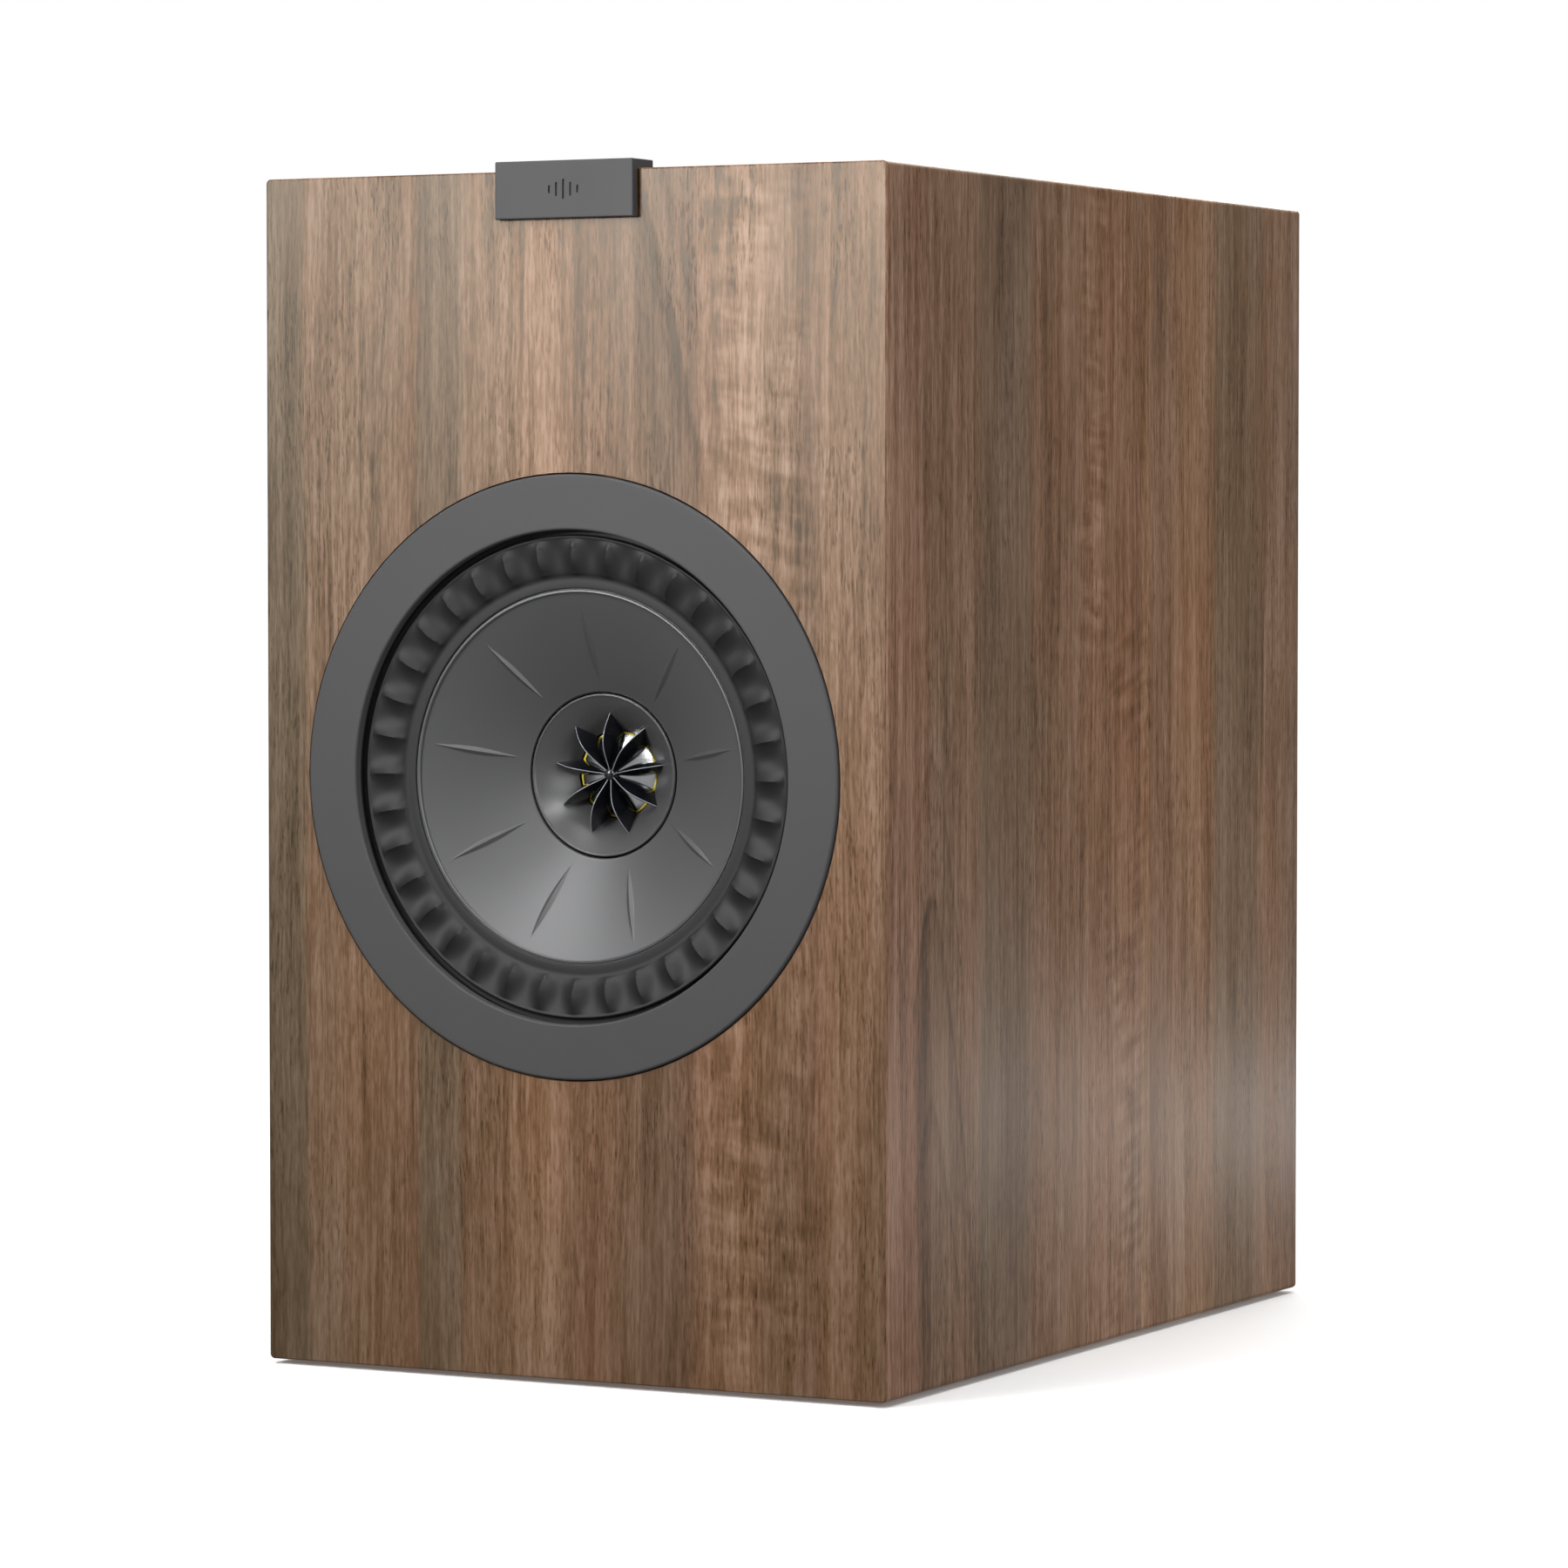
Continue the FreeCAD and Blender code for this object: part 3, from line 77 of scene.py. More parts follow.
class Finish:
    """A node-based material, with short calls for the nodes that it is made of. Lengths are in millimetres."""

    def __init__(self, name, **uniform):
        self.material = bpy.data.materials.new(name)
        self.material.use_nodes = True
        self.tree = self.material.node_tree
        self.shader = self.tree.nodes["Principled BSDF"]
        for socket, value in uniform.items():
            self.shader.inputs[socket.replace("_", " ")].default_value = value
        place = self.tree.nodes.new("ShaderNodeTexCoord").outputs["Object"]
        self.point = self.vector("MULTIPLY", place, (1 / MM,) * 3)

    def plug(self, socket, value):
        if isinstance(value, bpy.types.NodeSocket):
            self.tree.links.new(value, socket)
        else:
            socket.default_value = value

    def math(self, operation, *values):
        node = self.tree.nodes.new("ShaderNodeMath")
        node.operation = operation
        for socket, value in zip(node.inputs, values):
            self.plug(socket, value)
        return node.outputs[0]

    def vector(self, operation, *values, output=0):
        node = self.tree.nodes.new("ShaderNodeVectorMath")
        node.operation = operation
        for socket, value in zip(node.inputs, values):
            self.plug(socket, value)
        return node.outputs[output]

    def add(self, a, b):
        return self.math("ADD", a, b)

    def times(self, a, b):
        return self.math("MULTIPLY", a, b)

    def axis(self, vector, name):
        node = self.tree.nodes.new("ShaderNodeSeparateXYZ")
        self.plug(node.inputs[0], vector)
        return node.outputs[name]

    def off_axis(self, centre):
        """Distance from the line through centre that runs from front to back."""
        away = self.vector("MULTIPLY", self.vector("SUBTRACT", self.point, centre), (1.0, 0.0, 1.0))
        return self.vector("LENGTH", away, output=1)

    def combine(self, x, y, z=0.0):
        node = self.tree.nodes.new("ShaderNodeCombineXYZ")
        for socket, value in zip(node.inputs, (x, y, z)):
            self.plug(socket, value)
        return node.outputs[0]

    def noise(self, vector, size, detail=2.0, rough=0.5, shift=0.0):
        """Noise with features about that many millimetres long on each axis, from 0 to 1."""
        scaled = self.vector("MULTIPLY_ADD", vector, tuple(1 / s for s in size), (shift, shift, shift))
        node = self.tree.nodes.new("ShaderNodeTexNoise")
        self.plug(node.inputs["Vector"], scaled)
        node.inputs["Scale"].default_value = 1.0
        node.inputs["Detail"].default_value = detail
        node.inputs["Roughness"].default_value = rough
        return node.outputs[0]

    def around_zero(self, value, size):
        """A noise value moved to plus or minus half of size."""
        return self.math("MULTIPLY_ADD", value, size, -size / 2)

    def step(self, value, low, high):
        """0 below low, 1 above high, smooth between; low may be the larger."""
        node = self.tree.nodes.new("ShaderNodeMapRange")
        node.interpolation_type = "SMOOTHSTEP"
        self.plug(node.inputs["Value"], value)
        start, end = (0.0, 1.0) if low < high else (1.0, 0.0)
        node.inputs["From Min"].default_value = min(low, high)
        node.inputs["From Max"].default_value = max(low, high)
        node.inputs["To Min"].default_value = start
        node.inputs["To Max"].default_value = end
        return node.outputs["Result"]

    def ramp(self, value, stops, smooth=True):
        """Colour, or a grey level, along value; stops are (position 0 to 1, sRGB colour or level)."""
        node = self.tree.nodes.new("ShaderNodeValToRGB")
        self.plug(node.inputs[0], value)
        band = node.color_ramp
        band.interpolation = "EASE" if smooth else "LINEAR"
        while len(band.elements) > 1:
            band.elements.remove(band.elements[-1])
        for i, (position, colour) in enumerate(stops):
            element = band.elements[0] if i == 0 else band.elements.new(position)
            element.position = position
            element.color = linear(colour) if isinstance(colour, tuple) else (colour, colour, colour, 1)
        return node.outputs[0]

    def mix(self, share, a, b):
        node = self.tree.nodes.new("ShaderNodeMix")
        node.data_type = "RGBA"
        sockets = [s for s in node.inputs if s.type == "RGBA"]
        self.plug(node.inputs[0], share)
        self.plug(sockets[0], a)
        self.plug(sockets[1], b)
        return next(s for s in node.outputs if s.type == "RGBA")

    def brighten(self, colour, factor, hue=0.5, saturation=1.0):
        node = self.tree.nodes.new("ShaderNodeHueSaturation")
        self.plug(node.inputs["Color"], colour)
        self.plug(node.inputs["Value"], factor)
        self.plug(node.inputs["Hue"], hue)
        self.plug(node.inputs["Saturation"], saturation)
        return node.outputs[0]

    def colour(self, value):
        self.plug(self.shader.inputs["Base Color"], value)

    def roughness(self, value):
        self.plug(self.shader.inputs["Roughness"], value)

    def bump(self, height, distance):
        """Relief of that many millimetres where height goes from 0 to 1."""
        node = self.tree.nodes.new("ShaderNodeBump")
        node.inputs["Distance"].default_value = distance * MM
        self.plug(node.inputs["Height"], height)
        self.plug(self.shader.inputs["Normal"], node.outputs[0])


def grained(name, colour, roughness, spread=0.16, grain=0.35, relief=0.02, patch=14.0, **uniform):
    """Moulded plastic, paint or rubber: a fine grain in relief, with slight cloudiness in tone and gloss."""
    f = Finish(name, **uniform)
    fine = f.noise(f.point, (grain,) * 3, 3.0, 0.6)
    cloud = f.noise(f.point, (patch,) * 3, 2.0, 0.5, 3.1)
    tone = f.add(f.around_zero(fine, spread), f.around_zero(cloud, spread))
    f.colour(f.brighten(linear(colour), f.add(tone, 1.0)))
    f.roughness(f.add(f.around_zero(cloud, 0.10), f.add(f.around_zero(fine, 0.12), roughness)))
    f.bump(fine, relief)
    return f


def machined(name, colour, roughness, centre=(0, 0, 0), relief=0.008):
    """Turned and plated metal: fine marks round the line through centre, and a little staining."""
    f = Finish(name, Metallic=1.0)
    marks = f.noise(f.combine(f.off_axis(centre), f.axis(f.point, "Y")), (0.22, 0.4, 1.0), 3.0, 0.7)
    stain = f.noise(f.point, (9.0, 9.0, 9.0), 3.0, 0.6, 1.7)
    tone = f.add(f.around_zero(marks, 0.22), f.around_zero(stain, 0.16))
    f.colour(f.brighten(linear(colour), f.add(tone, 1.0)))
    f.roughness(f.add(f.around_zero(stain, 0.16), f.add(f.around_zero(marks, 0.14), roughness)))
    f.bump(marks, relief)
    return f


def wound(name, colour, pitch, along_axis, roughness=0.32):
    """Enamelled wire laid in even turns, one wire every pitch millimetres."""
    f = Finish(name, Metallic=0.9, Coat_Weight=0.4, Coat_Roughness=0.2)
    along = f.axis(f.point, along_axis)
    wobble = f.around_zero(f.noise(f.point, (5.0, 5.0, 5.0), 1.0), pitch * 0.5)
    phase = f.times(f.add(along, wobble), 2 * math.pi / pitch)
    turn = f.math("MULTIPLY_ADD", f.math("SINE", phase), 0.5, 0.5)
    patch = f.noise(f.point, (3.0, 3.0, 3.0), 2.0)
    tone = f.add(f.math("MULTIPLY_ADD", turn, 0.5, 0.62), f.around_zero(patch, 0.25))
    f.colour(f.brighten(linear(colour), tone))
    f.roughness(f.add(f.around_zero(patch, 0.2), roughness))
    f.bump(turn, pitch * 0.3)
    return f


def fibres(name, colour, across=0.25, along=4.0, relief=0.3, roughness=0.95):
    """Matted fibres: crossing stretched noises, with a soft sheen."""
    f = Finish(name, Sheen_Weight=0.4)
    one = f.noise(f.point, (across, along, along * 0.6), 3.0, 0.6)
    two = f.noise(f.point, (along, across, along * 0.8), 3.0, 0.6, 5.0)
    three = f.noise(f.point, (along * 0.7, along, across), 3.0, 0.6, 9.0)
    web = f.math("MAXIMUM", one, f.math("MAXIMUM", two, three))
    cloud = f.noise(f.point, (11.0, 11.0, 11.0), 3.0)
    tone = f.add(f.around_zero(web, 0.5), f.around_zero(cloud, 0.25))
    f.colour(f.brighten(linear(colour), f.add(tone, 0.95)))
    f.roughness(f.add(f.around_zero(web, 0.1), roughness))
    f.bump(web, relief)
    return f


def fibreboard_colour(f):
    """Raw fibreboard: pale brown felted fibres with darker specks."""
    chips = f.noise(f.point, (0.9, 0.9, 0.9), 4.0, 0.7, 2.0)
    cloud = f.noise(f.point, (16.0, 16.0, 16.0), 2.0, 0.5, 7.0)
    tone = f.add(f.around_zero(chips, 0.5), f.around_zero(cloud, 0.2))
    return f.brighten(linear((165, 132, 96)), f.add(tone, 1.0)), chips


WALNUT_FRONT = [(0, (88, 70, 51)), (12, (93, 74, 54)), (15, (105, 78, 56)), (34, (108, 80, 57)),
                (51, (106, 78, 56)), (54, (96, 76, 57)), (66, (99, 78, 59)), (70, (108, 80, 58)), (78, (112, 83, 60)),
                (96, (122, 89, 64)), (111, (114, 82, 60)), (124, (105, 77, 56)), (136, (100, 73, 53)),
                (146, (102, 74, 54)), (149, (114, 82, 59)), (163, (122, 87, 62)), (177, (108, 79, 56)),
                (185, (103, 74, 53)), (192, (112, 81, 57)), (210, (107, 77, 54))]
WALNUT_SIDE = [(0, (136, 99, 76)), (16, (133, 95, 72)), (34, (123, 92, 69)), (52, (127, 93, 69)),
               (58, (124, 92, 68)), (64, (113, 87, 65)), (84, (111, 84, 63)), (95, (114, 87, 64)),
               (101, (126, 91, 66)), (128, (131, 94, 66)), (142, (137, 97, 69)), (168, (139, 99, 70)),
               (177, (136, 97, 69)), (181, (152, 111, 79)), (188, (137, 98, 70)), (222, (148, 107, 75)),
               (234, (145, 104, 73)), (240, (126, 95, 67)), (266, (124, 93, 65)), (274, (132, 98, 71)),
               (278, (142, 104, 76)), (306, (132, 98, 73))]


VENEER = 0.6
WOOD_SPECULAR, WOOD_TINT = 0.42, (1.0, 0.92, 0.80, 1.0)
WOOD_ROUGHNESS, BOARD_ROUGHNESS, SHEEN_SWING = 0.38, 0.35, 0.10
PORE_TONE, VEIN_TONE, DARKEST = -0.40, -0.20, 0.22
# each layer of figure: size across and along the grain, detail, roughness, shift, lowest value, swing in tone
FIGURE = {
    "patch": (17.0, 105.0, 3.0, 0.55, 1, 0.32, 0.30),
    "broad": (4.6, 170.0, 2.0, 0.5, 5, 0.34, 0.26),
    "lines": (1.3, 60.0, 3.0, 0.6, 2, 0.32, 0.38),
    "hairs": (0.72, 6.5, 2.0, 0.6, 3, 0.30, 0.44),
}


def walnut(name, across, along, origin, size, bands, features=None, seed=0.0, level=1.06, gain=(1.0, 1.0)):
    """Lacquered walnut veneer on fibreboard. u runs across the grain and v along it, both in millimetres.

    bands are (u, colour), level is the mean brightness, and gain is the figure's contrast at v = 0 and at the far end.
    """
    f = Finish(name)
    f.shader.inputs["Specular IOR Level"].default_value = WOOD_SPECULAR
    f.shader.inputs["Specular Tint"].default_value = WOOD_TINT
    u = f.math("ADD", f.axis(f.point, across), -origin[0])
    v = f.math("ADD", f.axis(f.point, along), -origin[1])
    flat = f.combine(u, v, seed)
    slow = f.noise(flat, (45.0, 230.0, 1.0), 2.0, 0.5, seed)
    quick = f.noise(flat, (7.0, 42.0, 1.0), 2.0, 0.5, seed + 4)
    bend = f.add(f.around_zero(slow, 7.0), f.around_zero(quick, 1.6))
    warped = f.add(u, bend)
    grain_flat = f.combine(warped, v, seed)
    base = f.ramp(f.times(warped, 1 / size[0]), [(p / size[0], c) for p, c in bands])

    dashes = f.noise(grain_flat, (0.55, 4.4, 1.0), 1.0, 0.5, seed + 6)
    fleck_field = f.noise(grain_flat, (15.0, 70.0, 1.0), 2.0, 0.5, seed + 7)
    pores = f.times(f.step(dashes, 0.57, 0.68), f.step(fleck_field, 0.34, 0.62))
    contour = f.math("ABSOLUTE", f.add(f.noise(grain_flat, (3.4, 260.0, 1.0), 2.0, 0.6, seed + 9), -0.5))
    veins = f.step(contour, 0.030, 0.0)
    tone = f.times(pores, PORE_TONE)
    figure = {}
    for layer, (wide, long, detail, rough, shift, low, swing) in FIGURE.items():
        figure[layer] = f.noise(grain_flat, (wide, long, 1.0), detail, rough, seed + shift)
        tone = f.add(tone, f.around_zero(f.step(figure[layer], low, 1 - low), swing))
    tone = f.add(tone, f.times(veins, VEIN_TONE))
    if features:
        tone = f.add(tone, features(f, u, v, warped, seed))
    if gain != (1.0, 1.0):
        tone = f.times(tone, f.math("MULTIPLY_ADD", v, (gain[1] - gain[0]) / size[1], gain[0]))
    redness = f.noise(grain_flat, (21.0, 130.0, 1.0), 2.0, 0.5, seed + 8)
    hue = f.math("MULTIPLY_ADD", redness, -0.016, 0.510)
    saturation = f.add(f.math("MULTIPLY_ADD", redness, 0.28, 0.84), f.times(tone, -0.35))
    wood = f.brighten(base, f.math("MAXIMUM", f.add(tone, level), DARKEST), hue, saturation)

    # bare fibreboard wherever the cut is deeper than the veneer
    inside = None
    limits = {"X": (-HALF_WIDTH, HALF_WIDTH), "Y": (FRONT_Y, REAR_Y), "Z": (BOTTOM_Z, TOP_Z)}
    for axis, (low, high) in limits.items():
        place = f.axis(f.point, axis)
        gap = f.math("MINIMUM", f.add(place, -low), f.math("MULTIPLY_ADD", place, -1.0, high))
        inside = gap if inside is None else f.math("MINIMUM", inside, gap)
    core = f.step(inside, VENEER - 0.05, VENEER + 0.05)
    board, chips = fibreboard_colour(f)
    f.colour(f.mix(core, wood, board))
    lines, hairs = figure["lines"], figure["hairs"]
    sheen = f.add(f.around_zero(lines, SHEEN_SWING), f.around_zero(hairs, SHEEN_SWING))
    f.roughness(f.add(f.times(core, BOARD_ROUGHNESS), f.add(sheen, WOOD_ROUGHNESS)))
    relief = f.math("MULTIPLY_ADD", pores, -0.8, f.add(lines, hairs))
    f.bump(f.add(relief, f.times(core, chips)), 0.018)
    return f


def ripples(f, u, v, where, length, pitch, slant, seed, depth):
    """Fiddleback: short dark and light bars that cross the grain, inside the strip that where gives."""
    tilted = f.math("MULTIPLY_ADD", u, slant, v)
    bars = f.noise(f.combine(u, tilted, seed), (length, pitch, 1.0), 2.0, 0.45, seed)
    groups = f.noise(f.combine(u, v, seed), (length * 1.2, pitch * 7, 1.0), 1.0, 0.5, seed + 3)
    return f.times(f.times(where, f.step(groups, 0.34, 0.56)), f.around_zero(f.step(bars, 0.30, 0.70), depth))


def strip(f, value, low, high, edge):
    """1 between low and high, fading to 0 over edge on both sides."""
    return f.times(f.step(value, low - edge, low + edge), f.step(value, high + edge, high - edge))


def front_features(f, u, v, warped, seed):
    """The front's figure: fiddleback in the right third, a cathedral line from the top edge, a pale right edge."""
    bars = ripples(f, u, v, strip(f, u, 150, 186, 9), 13.0, 5.6, 0.14, seed + 11, 0.46)
    down = f.math("MULTIPLY_ADD", v, -1 / 80, HEIGHT / 80)
    bow = f.math("MULTIPLY_ADD", f.math("MULTIPLY", down, down), -4.5, f.math("MULTIPLY_ADD", down, 24.0, 126.0))
    beside = f.math("SUBTRACT", warped, bow)
    line = f.times(f.step(beside, -5.0, 1.2), f.step(beside, 3.4, 1.2))
    second = f.times(f.step(beside, 6.0, 9.5), f.step(beside, 13.0, 9.5))
    fade = f.step(down, 1.35, 0.9)
    pale = f.times(strip(f, u, 190, 214, 7), f.times(f.step(v, 80, 150), f.step(v, 330, 270)))
    cathedral = f.times(fade, f.add(f.times(line, -0.42), f.times(second, -0.20)))
    return f.add(f.add(bars, f.times(pale, 0.14)), cathedral)


def side_features(f, u, v, warped, seed):
    """A side's figure: nested cathedral points low down near the front, and two runs of fiddleback."""
    upper = f.times(strip(f, u, 132, 152, 5), f.step(v, 195, 235))
    lower = f.times(strip(f, u, 148, 182, 7), f.step(v, 240, 200))
    bars = f.add(ripples(f, u, v, upper, 13.0, 4.4, 0.05, seed + 11, 0.45),
                 ripples(f, u, v, lower, 15.0, 4.8, -0.35, seed + 17, 0.40))
    beside = f.math("ABSOLUTE", f.add(warped, -30.0))
    rise = f.math("MULTIPLY_ADD", f.math("POWER", beside, 1.5), 0.8, v)
    points = f.ramp(f.times(rise, 1 / HEIGHT), [
        (0.00, 0.3), (0.20, 0.15), (0.235, 0.9), (0.245, 0.1), (0.37, 0.25), (0.405, 1.0), (0.415, 0.1),
        (0.50, 0.3), (0.52, 0.75), (0.53, 0.05), (0.75, 0.1), (0.77, 0.35), (0.78, 0.0), (1.0, 0.0)], False)
    held = f.times(strip(f, u, 16, 58, 9), f.step(v, 300, 220))
    dark = strip(f, warped, 22, 30, 3)
    low_down = f.times(f.times(dark, f.step(v, 165, 120)), -0.34)
    return f.add(bars, f.add(low_down, f.times(f.times(points, held), -0.42)))


# ---------------------------------------------------------------- geometry
def outline(items, step):
    """Points (radius, depth) in millimetres along straight runs and ("arc", middle, end) three-point arcs.

    They are step apart on arcs, and four times that on runs.
    """
    points = [np.array(items[0], float)]
    for item in items[1:]:
        start = points[-1]
        if item[0] != "arc":
            end = np.array(item, float)
            count = max(1, int(round(np.linalg.norm(end - start) / (step * 4))))
            points += [start + (end - start) * i / count for i in range(1, count + 1)]
            continue
        a, b, c = start, np.array(item[1], float), np.array(item[2], float)
        twice = 2 * ((b[0] - a[0]) * (c[1] - a[1]) - (b[1] - a[1]) * (c[0] - a[0]))
        ab, ac = (b @ b - a @ a), (c @ c - a @ a)
        centre = np.array([(c[1] - a[1]) * ab - (b[1] - a[1]) * ac,
                           (b[0] - a[0]) * ac - (c[0] - a[0]) * ab]) / twice
        radius = np.linalg.norm(a - centre)
        first = math.atan2(*(a - centre)[::-1])
        turn = [(math.atan2(*(p - centre)[::-1]) - first) % (2 * math.pi) for p in (b, c)]
        sweep = turn[1] if turn[0] < turn[1] else turn[1] - 2 * math.pi
        count = max(4, int(math.ceil(abs(sweep) * radius / step)))
        points += [centre + radius * np.array([math.cos(first + sweep * i / count),
                                               math.sin(first + sweep * i / count)])
                   for i in range(1, count + 1)]
    return [tuple(p) for p in points]


def on_axis(radius, depth, angle):
    """A point round the driver's axis: angle 0 is up, and depth is measured back from the baffle's front."""
    return Vector((radius * math.sin(angle), FRONT_Y + depth, DRIVER_Z + radius * math.cos(angle))) * MM


def piece(name, vertices, faces, sharp=35.0):
    """A mesh object in the frame's metres, smooth except where faces meet at more than sharp degrees."""
    mesh = bpy.data.meshes.new(name)
    mesh.from_pydata([tuple(v) for v in vertices], [], faces)
    work = bmesh.new()
    work.from_mesh(mesh)
    bmesh.ops.remove_doubles(work, verts=work.verts, dist=1e-7)
    bmesh.ops.recalc_face_normals(work, faces=work.faces)
    work.to_mesh(mesh)
    work.free()
    mesh.shade_smooth()
    mesh.set_sharp_from_angle(angle=math.radians(sharp))
    made = bpy.data.objects.new(name, mesh)
    bpy.context.scene.collection.objects.link(made)
    return made


def even(count):
    """That many angles, evenly spaced round a full turn."""
    return [2 * math.pi * i / count for i in range(count)]


def turned(name, profile, angles, shape=None, closed=True, sharp=35.0):
    """A body of revolution on the driver's axis. shape(angle, index, radius, depth) may move each point."""
    rows = len(profile)
    vertices = []
    for angle in angles:
        for index, (radius, depth) in enumerate(profile):
            if shape:
                radius, depth = shape(angle, index, radius, depth)
            vertices.append(on_axis(radius, depth, angle))
    faces = []
    for i in range(len(angles)):
        following = (i + 1) % len(angles)
        for j in range(rows if closed else rows - 1):
            k = (j + 1) % rows
            faces.append((i * rows + j, following * rows + j, following * rows + k, i * rows + k))
    return piece(name, vertices, faces, sharp)


def dress(target, finish, body=None, replaced=()):
    """Gives a piece its finish and body, and hides the CAD nodes that it stands for."""
    target.data.materials.clear()
    target.data.materials.append(finish.material)
    if body:
        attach(target, body)
    if replaced:
        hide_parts(*replaced)
    return target


def flex_radially(target):
    """Bakes the piece's placement into its mesh."""
    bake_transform(target)


def smooth_path(points, per_run=10):
    """A line through every point, rounded evenly (Catmull-Rom)."""
    ends = [points[0] * 2 - points[1]] + list(points) + [points[-1] * 2 - points[-2]]
    path = []
    for a, b, c, d in zip(ends, ends[1:], ends[2:], ends[3:]):
        for i in range(per_run):
            t = i / per_run
            path.append(0.5 * (b * 2 + (c - a) * t + (a * 2 - b * 5 + c * 4 - d) * t**2
                               + (b * 3 - a - c * 3 + d) * t**3))
    return path + [points[-1]]


def tube(path, radius, sides=12):
    """Vertices and faces of a closed tube along a path, in the path's units."""
    vertices, faces = [], []
    side = (path[1] - path[0]).orthogonal().normalized()
    for i, point in enumerate(path):
        ahead = (path[min(i + 1, len(path) - 1)] - path[max(i - 1, 0)]).normalized()
        side = (side - ahead * side.dot(ahead)).normalized()
        other = ahead.cross(side)
        for k in range(sides):
            turn = 2 * math.pi * k / sides
            vertices.append(point + (side * math.cos(turn) + other * math.sin(turn)) * radius)
    for i in range(len(path) - 1):
        for k in range(sides):
            m = (k + 1) % sides
            faces.append((i * sides + k, i * sides + m, (i + 1) * sides + m, (i + 1) * sides + k))
    faces.append(tuple(range(sides)))
    faces.append(tuple(range((len(path) - 1) * sides, len(path) * sides)))
    return vertices, faces


# ---------------------------------------------------------------- finishes
driver_centre = (0.0, FRONT_Y, DRIVER_Z)
ring_grey = grained("ring_satin_grey", (71, 71, 72), 0.52, spread=0.08, grain=0.22, relief=0.006,
                    Specular_IOR_Level=0.2)
badge_grey = grained("badge_satin_grey", (70, 70, 71), 0.48, spread=0.07, grain=0.20, relief=0.006,
                     Specular_IOR_Level=0.18)
surround_black = grained("surround_rubber", (28, 28, 29), 0.55, spread=0.16, grain=0.30, relief=0.012,
                         Specular_IOR_Level=0.4)
gasket_black = grained("foam_rubber", (30, 30, 31), 0.85, spread=0.3, grain=0.5, relief=0.06)
foot_black = grained("foot_rubber", (34, 34, 35), 0.75, spread=0.2, grain=0.4, relief=0.03)
basket_black = grained("basket_paint", (34, 34, 35), 0.48, spread=0.2, grain=0.45, relief=0.03)
screw_black = grained("black_oxide", (30, 30, 32), 0.36, spread=0.25, grain=0.25, relief=0.01, Metallic=0.8)
plastic_black = grained("moulded_black", (40, 40, 41), 0.38, spread=0.14, grain=0.30, relief=0.012)
horn_black = grained("horn_satin_black", (72, 72, 73), 0.31, spread=0.14, grain=0.35, relief=0.010)
hub_black = grained("hub_gloss_black", (14, 15, 20), 0.20, spread=0.10, grain=0.6, relief=0.002, Coat_Weight=0.5)
knob_red = grained("knob_red", (176, 22, 18), 0.26, spread=0.10, grain=0.3, relief=0.004, Coat_Weight=0.4)
knob_black = grained("knob_black", (38, 38, 39), 0.26, spread=0.12, grain=0.3, relief=0.004, Coat_Weight=0.4)
capacitor_black = grained("capacitor_film", (40, 62, 96), 0.35, spread=0.12, grain=0.8, relief=0.01)
cement_white = grained("resistor_cement", (216, 211, 196), 0.85, spread=0.22, grain=0.5, relief=0.06)
lead_red = grained("lead_red", (160, 20, 18), 0.45, spread=0.14, grain=0.6, relief=0.01)
lead_black = grained("lead_black", (22, 22, 23), 0.45, spread=0.14, grain=0.6, relief=0.01)
edge_gold = grained("dome_edge_gold", (206, 184, 44), 0.35, spread=0.12, grain=0.2, relief=0.004, Metallic=0.25)
zinc = machined("zinc_plate", (176, 176, 180), 0.34, centre=driver_centre)
bright_zinc = machined("zinc_plate_small", (186, 186, 190), 0.30)
post_plating = machined("gold_plate", (214, 172, 92), 0.22, relief=0.003)
dome_metal = machined("dome_silver", (238, 240, 243), 0.20, centre=driver_centre, relief=0.002)
# painted shade: the coil former is a dark bronze metal, darkened so that where it shows in the narrow gap round the
# waveguide it stands in for the gap's shade
former_metal_dark_for_gap_shade = machined("coil_former", (72, 66, 58), 0.45, centre=driver_centre)
voice_copper = wound("voice_coil_wire", (196, 112, 60), 0.5, "Y")
inductor_copper = wound("inductor_wire", (190, 104, 52), 1.2, "Z")
braid_copper = wound("tinsel_braid", (200, 140, 96), 0.35, "Z", 0.45)
spider_cloth = fibres("spider_cloth", (186, 132, 58), 0.3, 0.9, 0.05, 0.85)
wadding_white = fibres("wadding_fibre", (214, 214, 208))
ferrite_grey = grained("ferrite_ceramic", (46, 46, 48), 0.62, spread=0.3, grain=0.7, relief=0.03)


def cone_finish():
    """Satin grey diaphragm: fine spun marks round the axis in a lightly metallic paint."""
    f = Finish("cone_satin_grey", Metallic=0.56)
    spun = f.noise(f.combine(f.off_axis(driver_centre), 0.0), (0.16, 1.0, 1.0), 2.0, 0.6)
    fleck = f.noise(f.point, (0.14,) * 3, 2.0, 0.6)
    cloud = f.noise(f.point, (18.0,) * 3, 2.0)
    tone = f.add(f.around_zero(spun, 0.05), f.add(f.around_zero(fleck, 0.10), f.around_zero(cloud, 0.05)))
    f.colour(f.brighten(linear((92, 92, 93)), f.add(tone, 1.0)))
    f.roughness(f.add(f.around_zero(fleck, 0.08), 0.46))
    f.bump(f.add(spun, fleck), 0.0025)
    return f


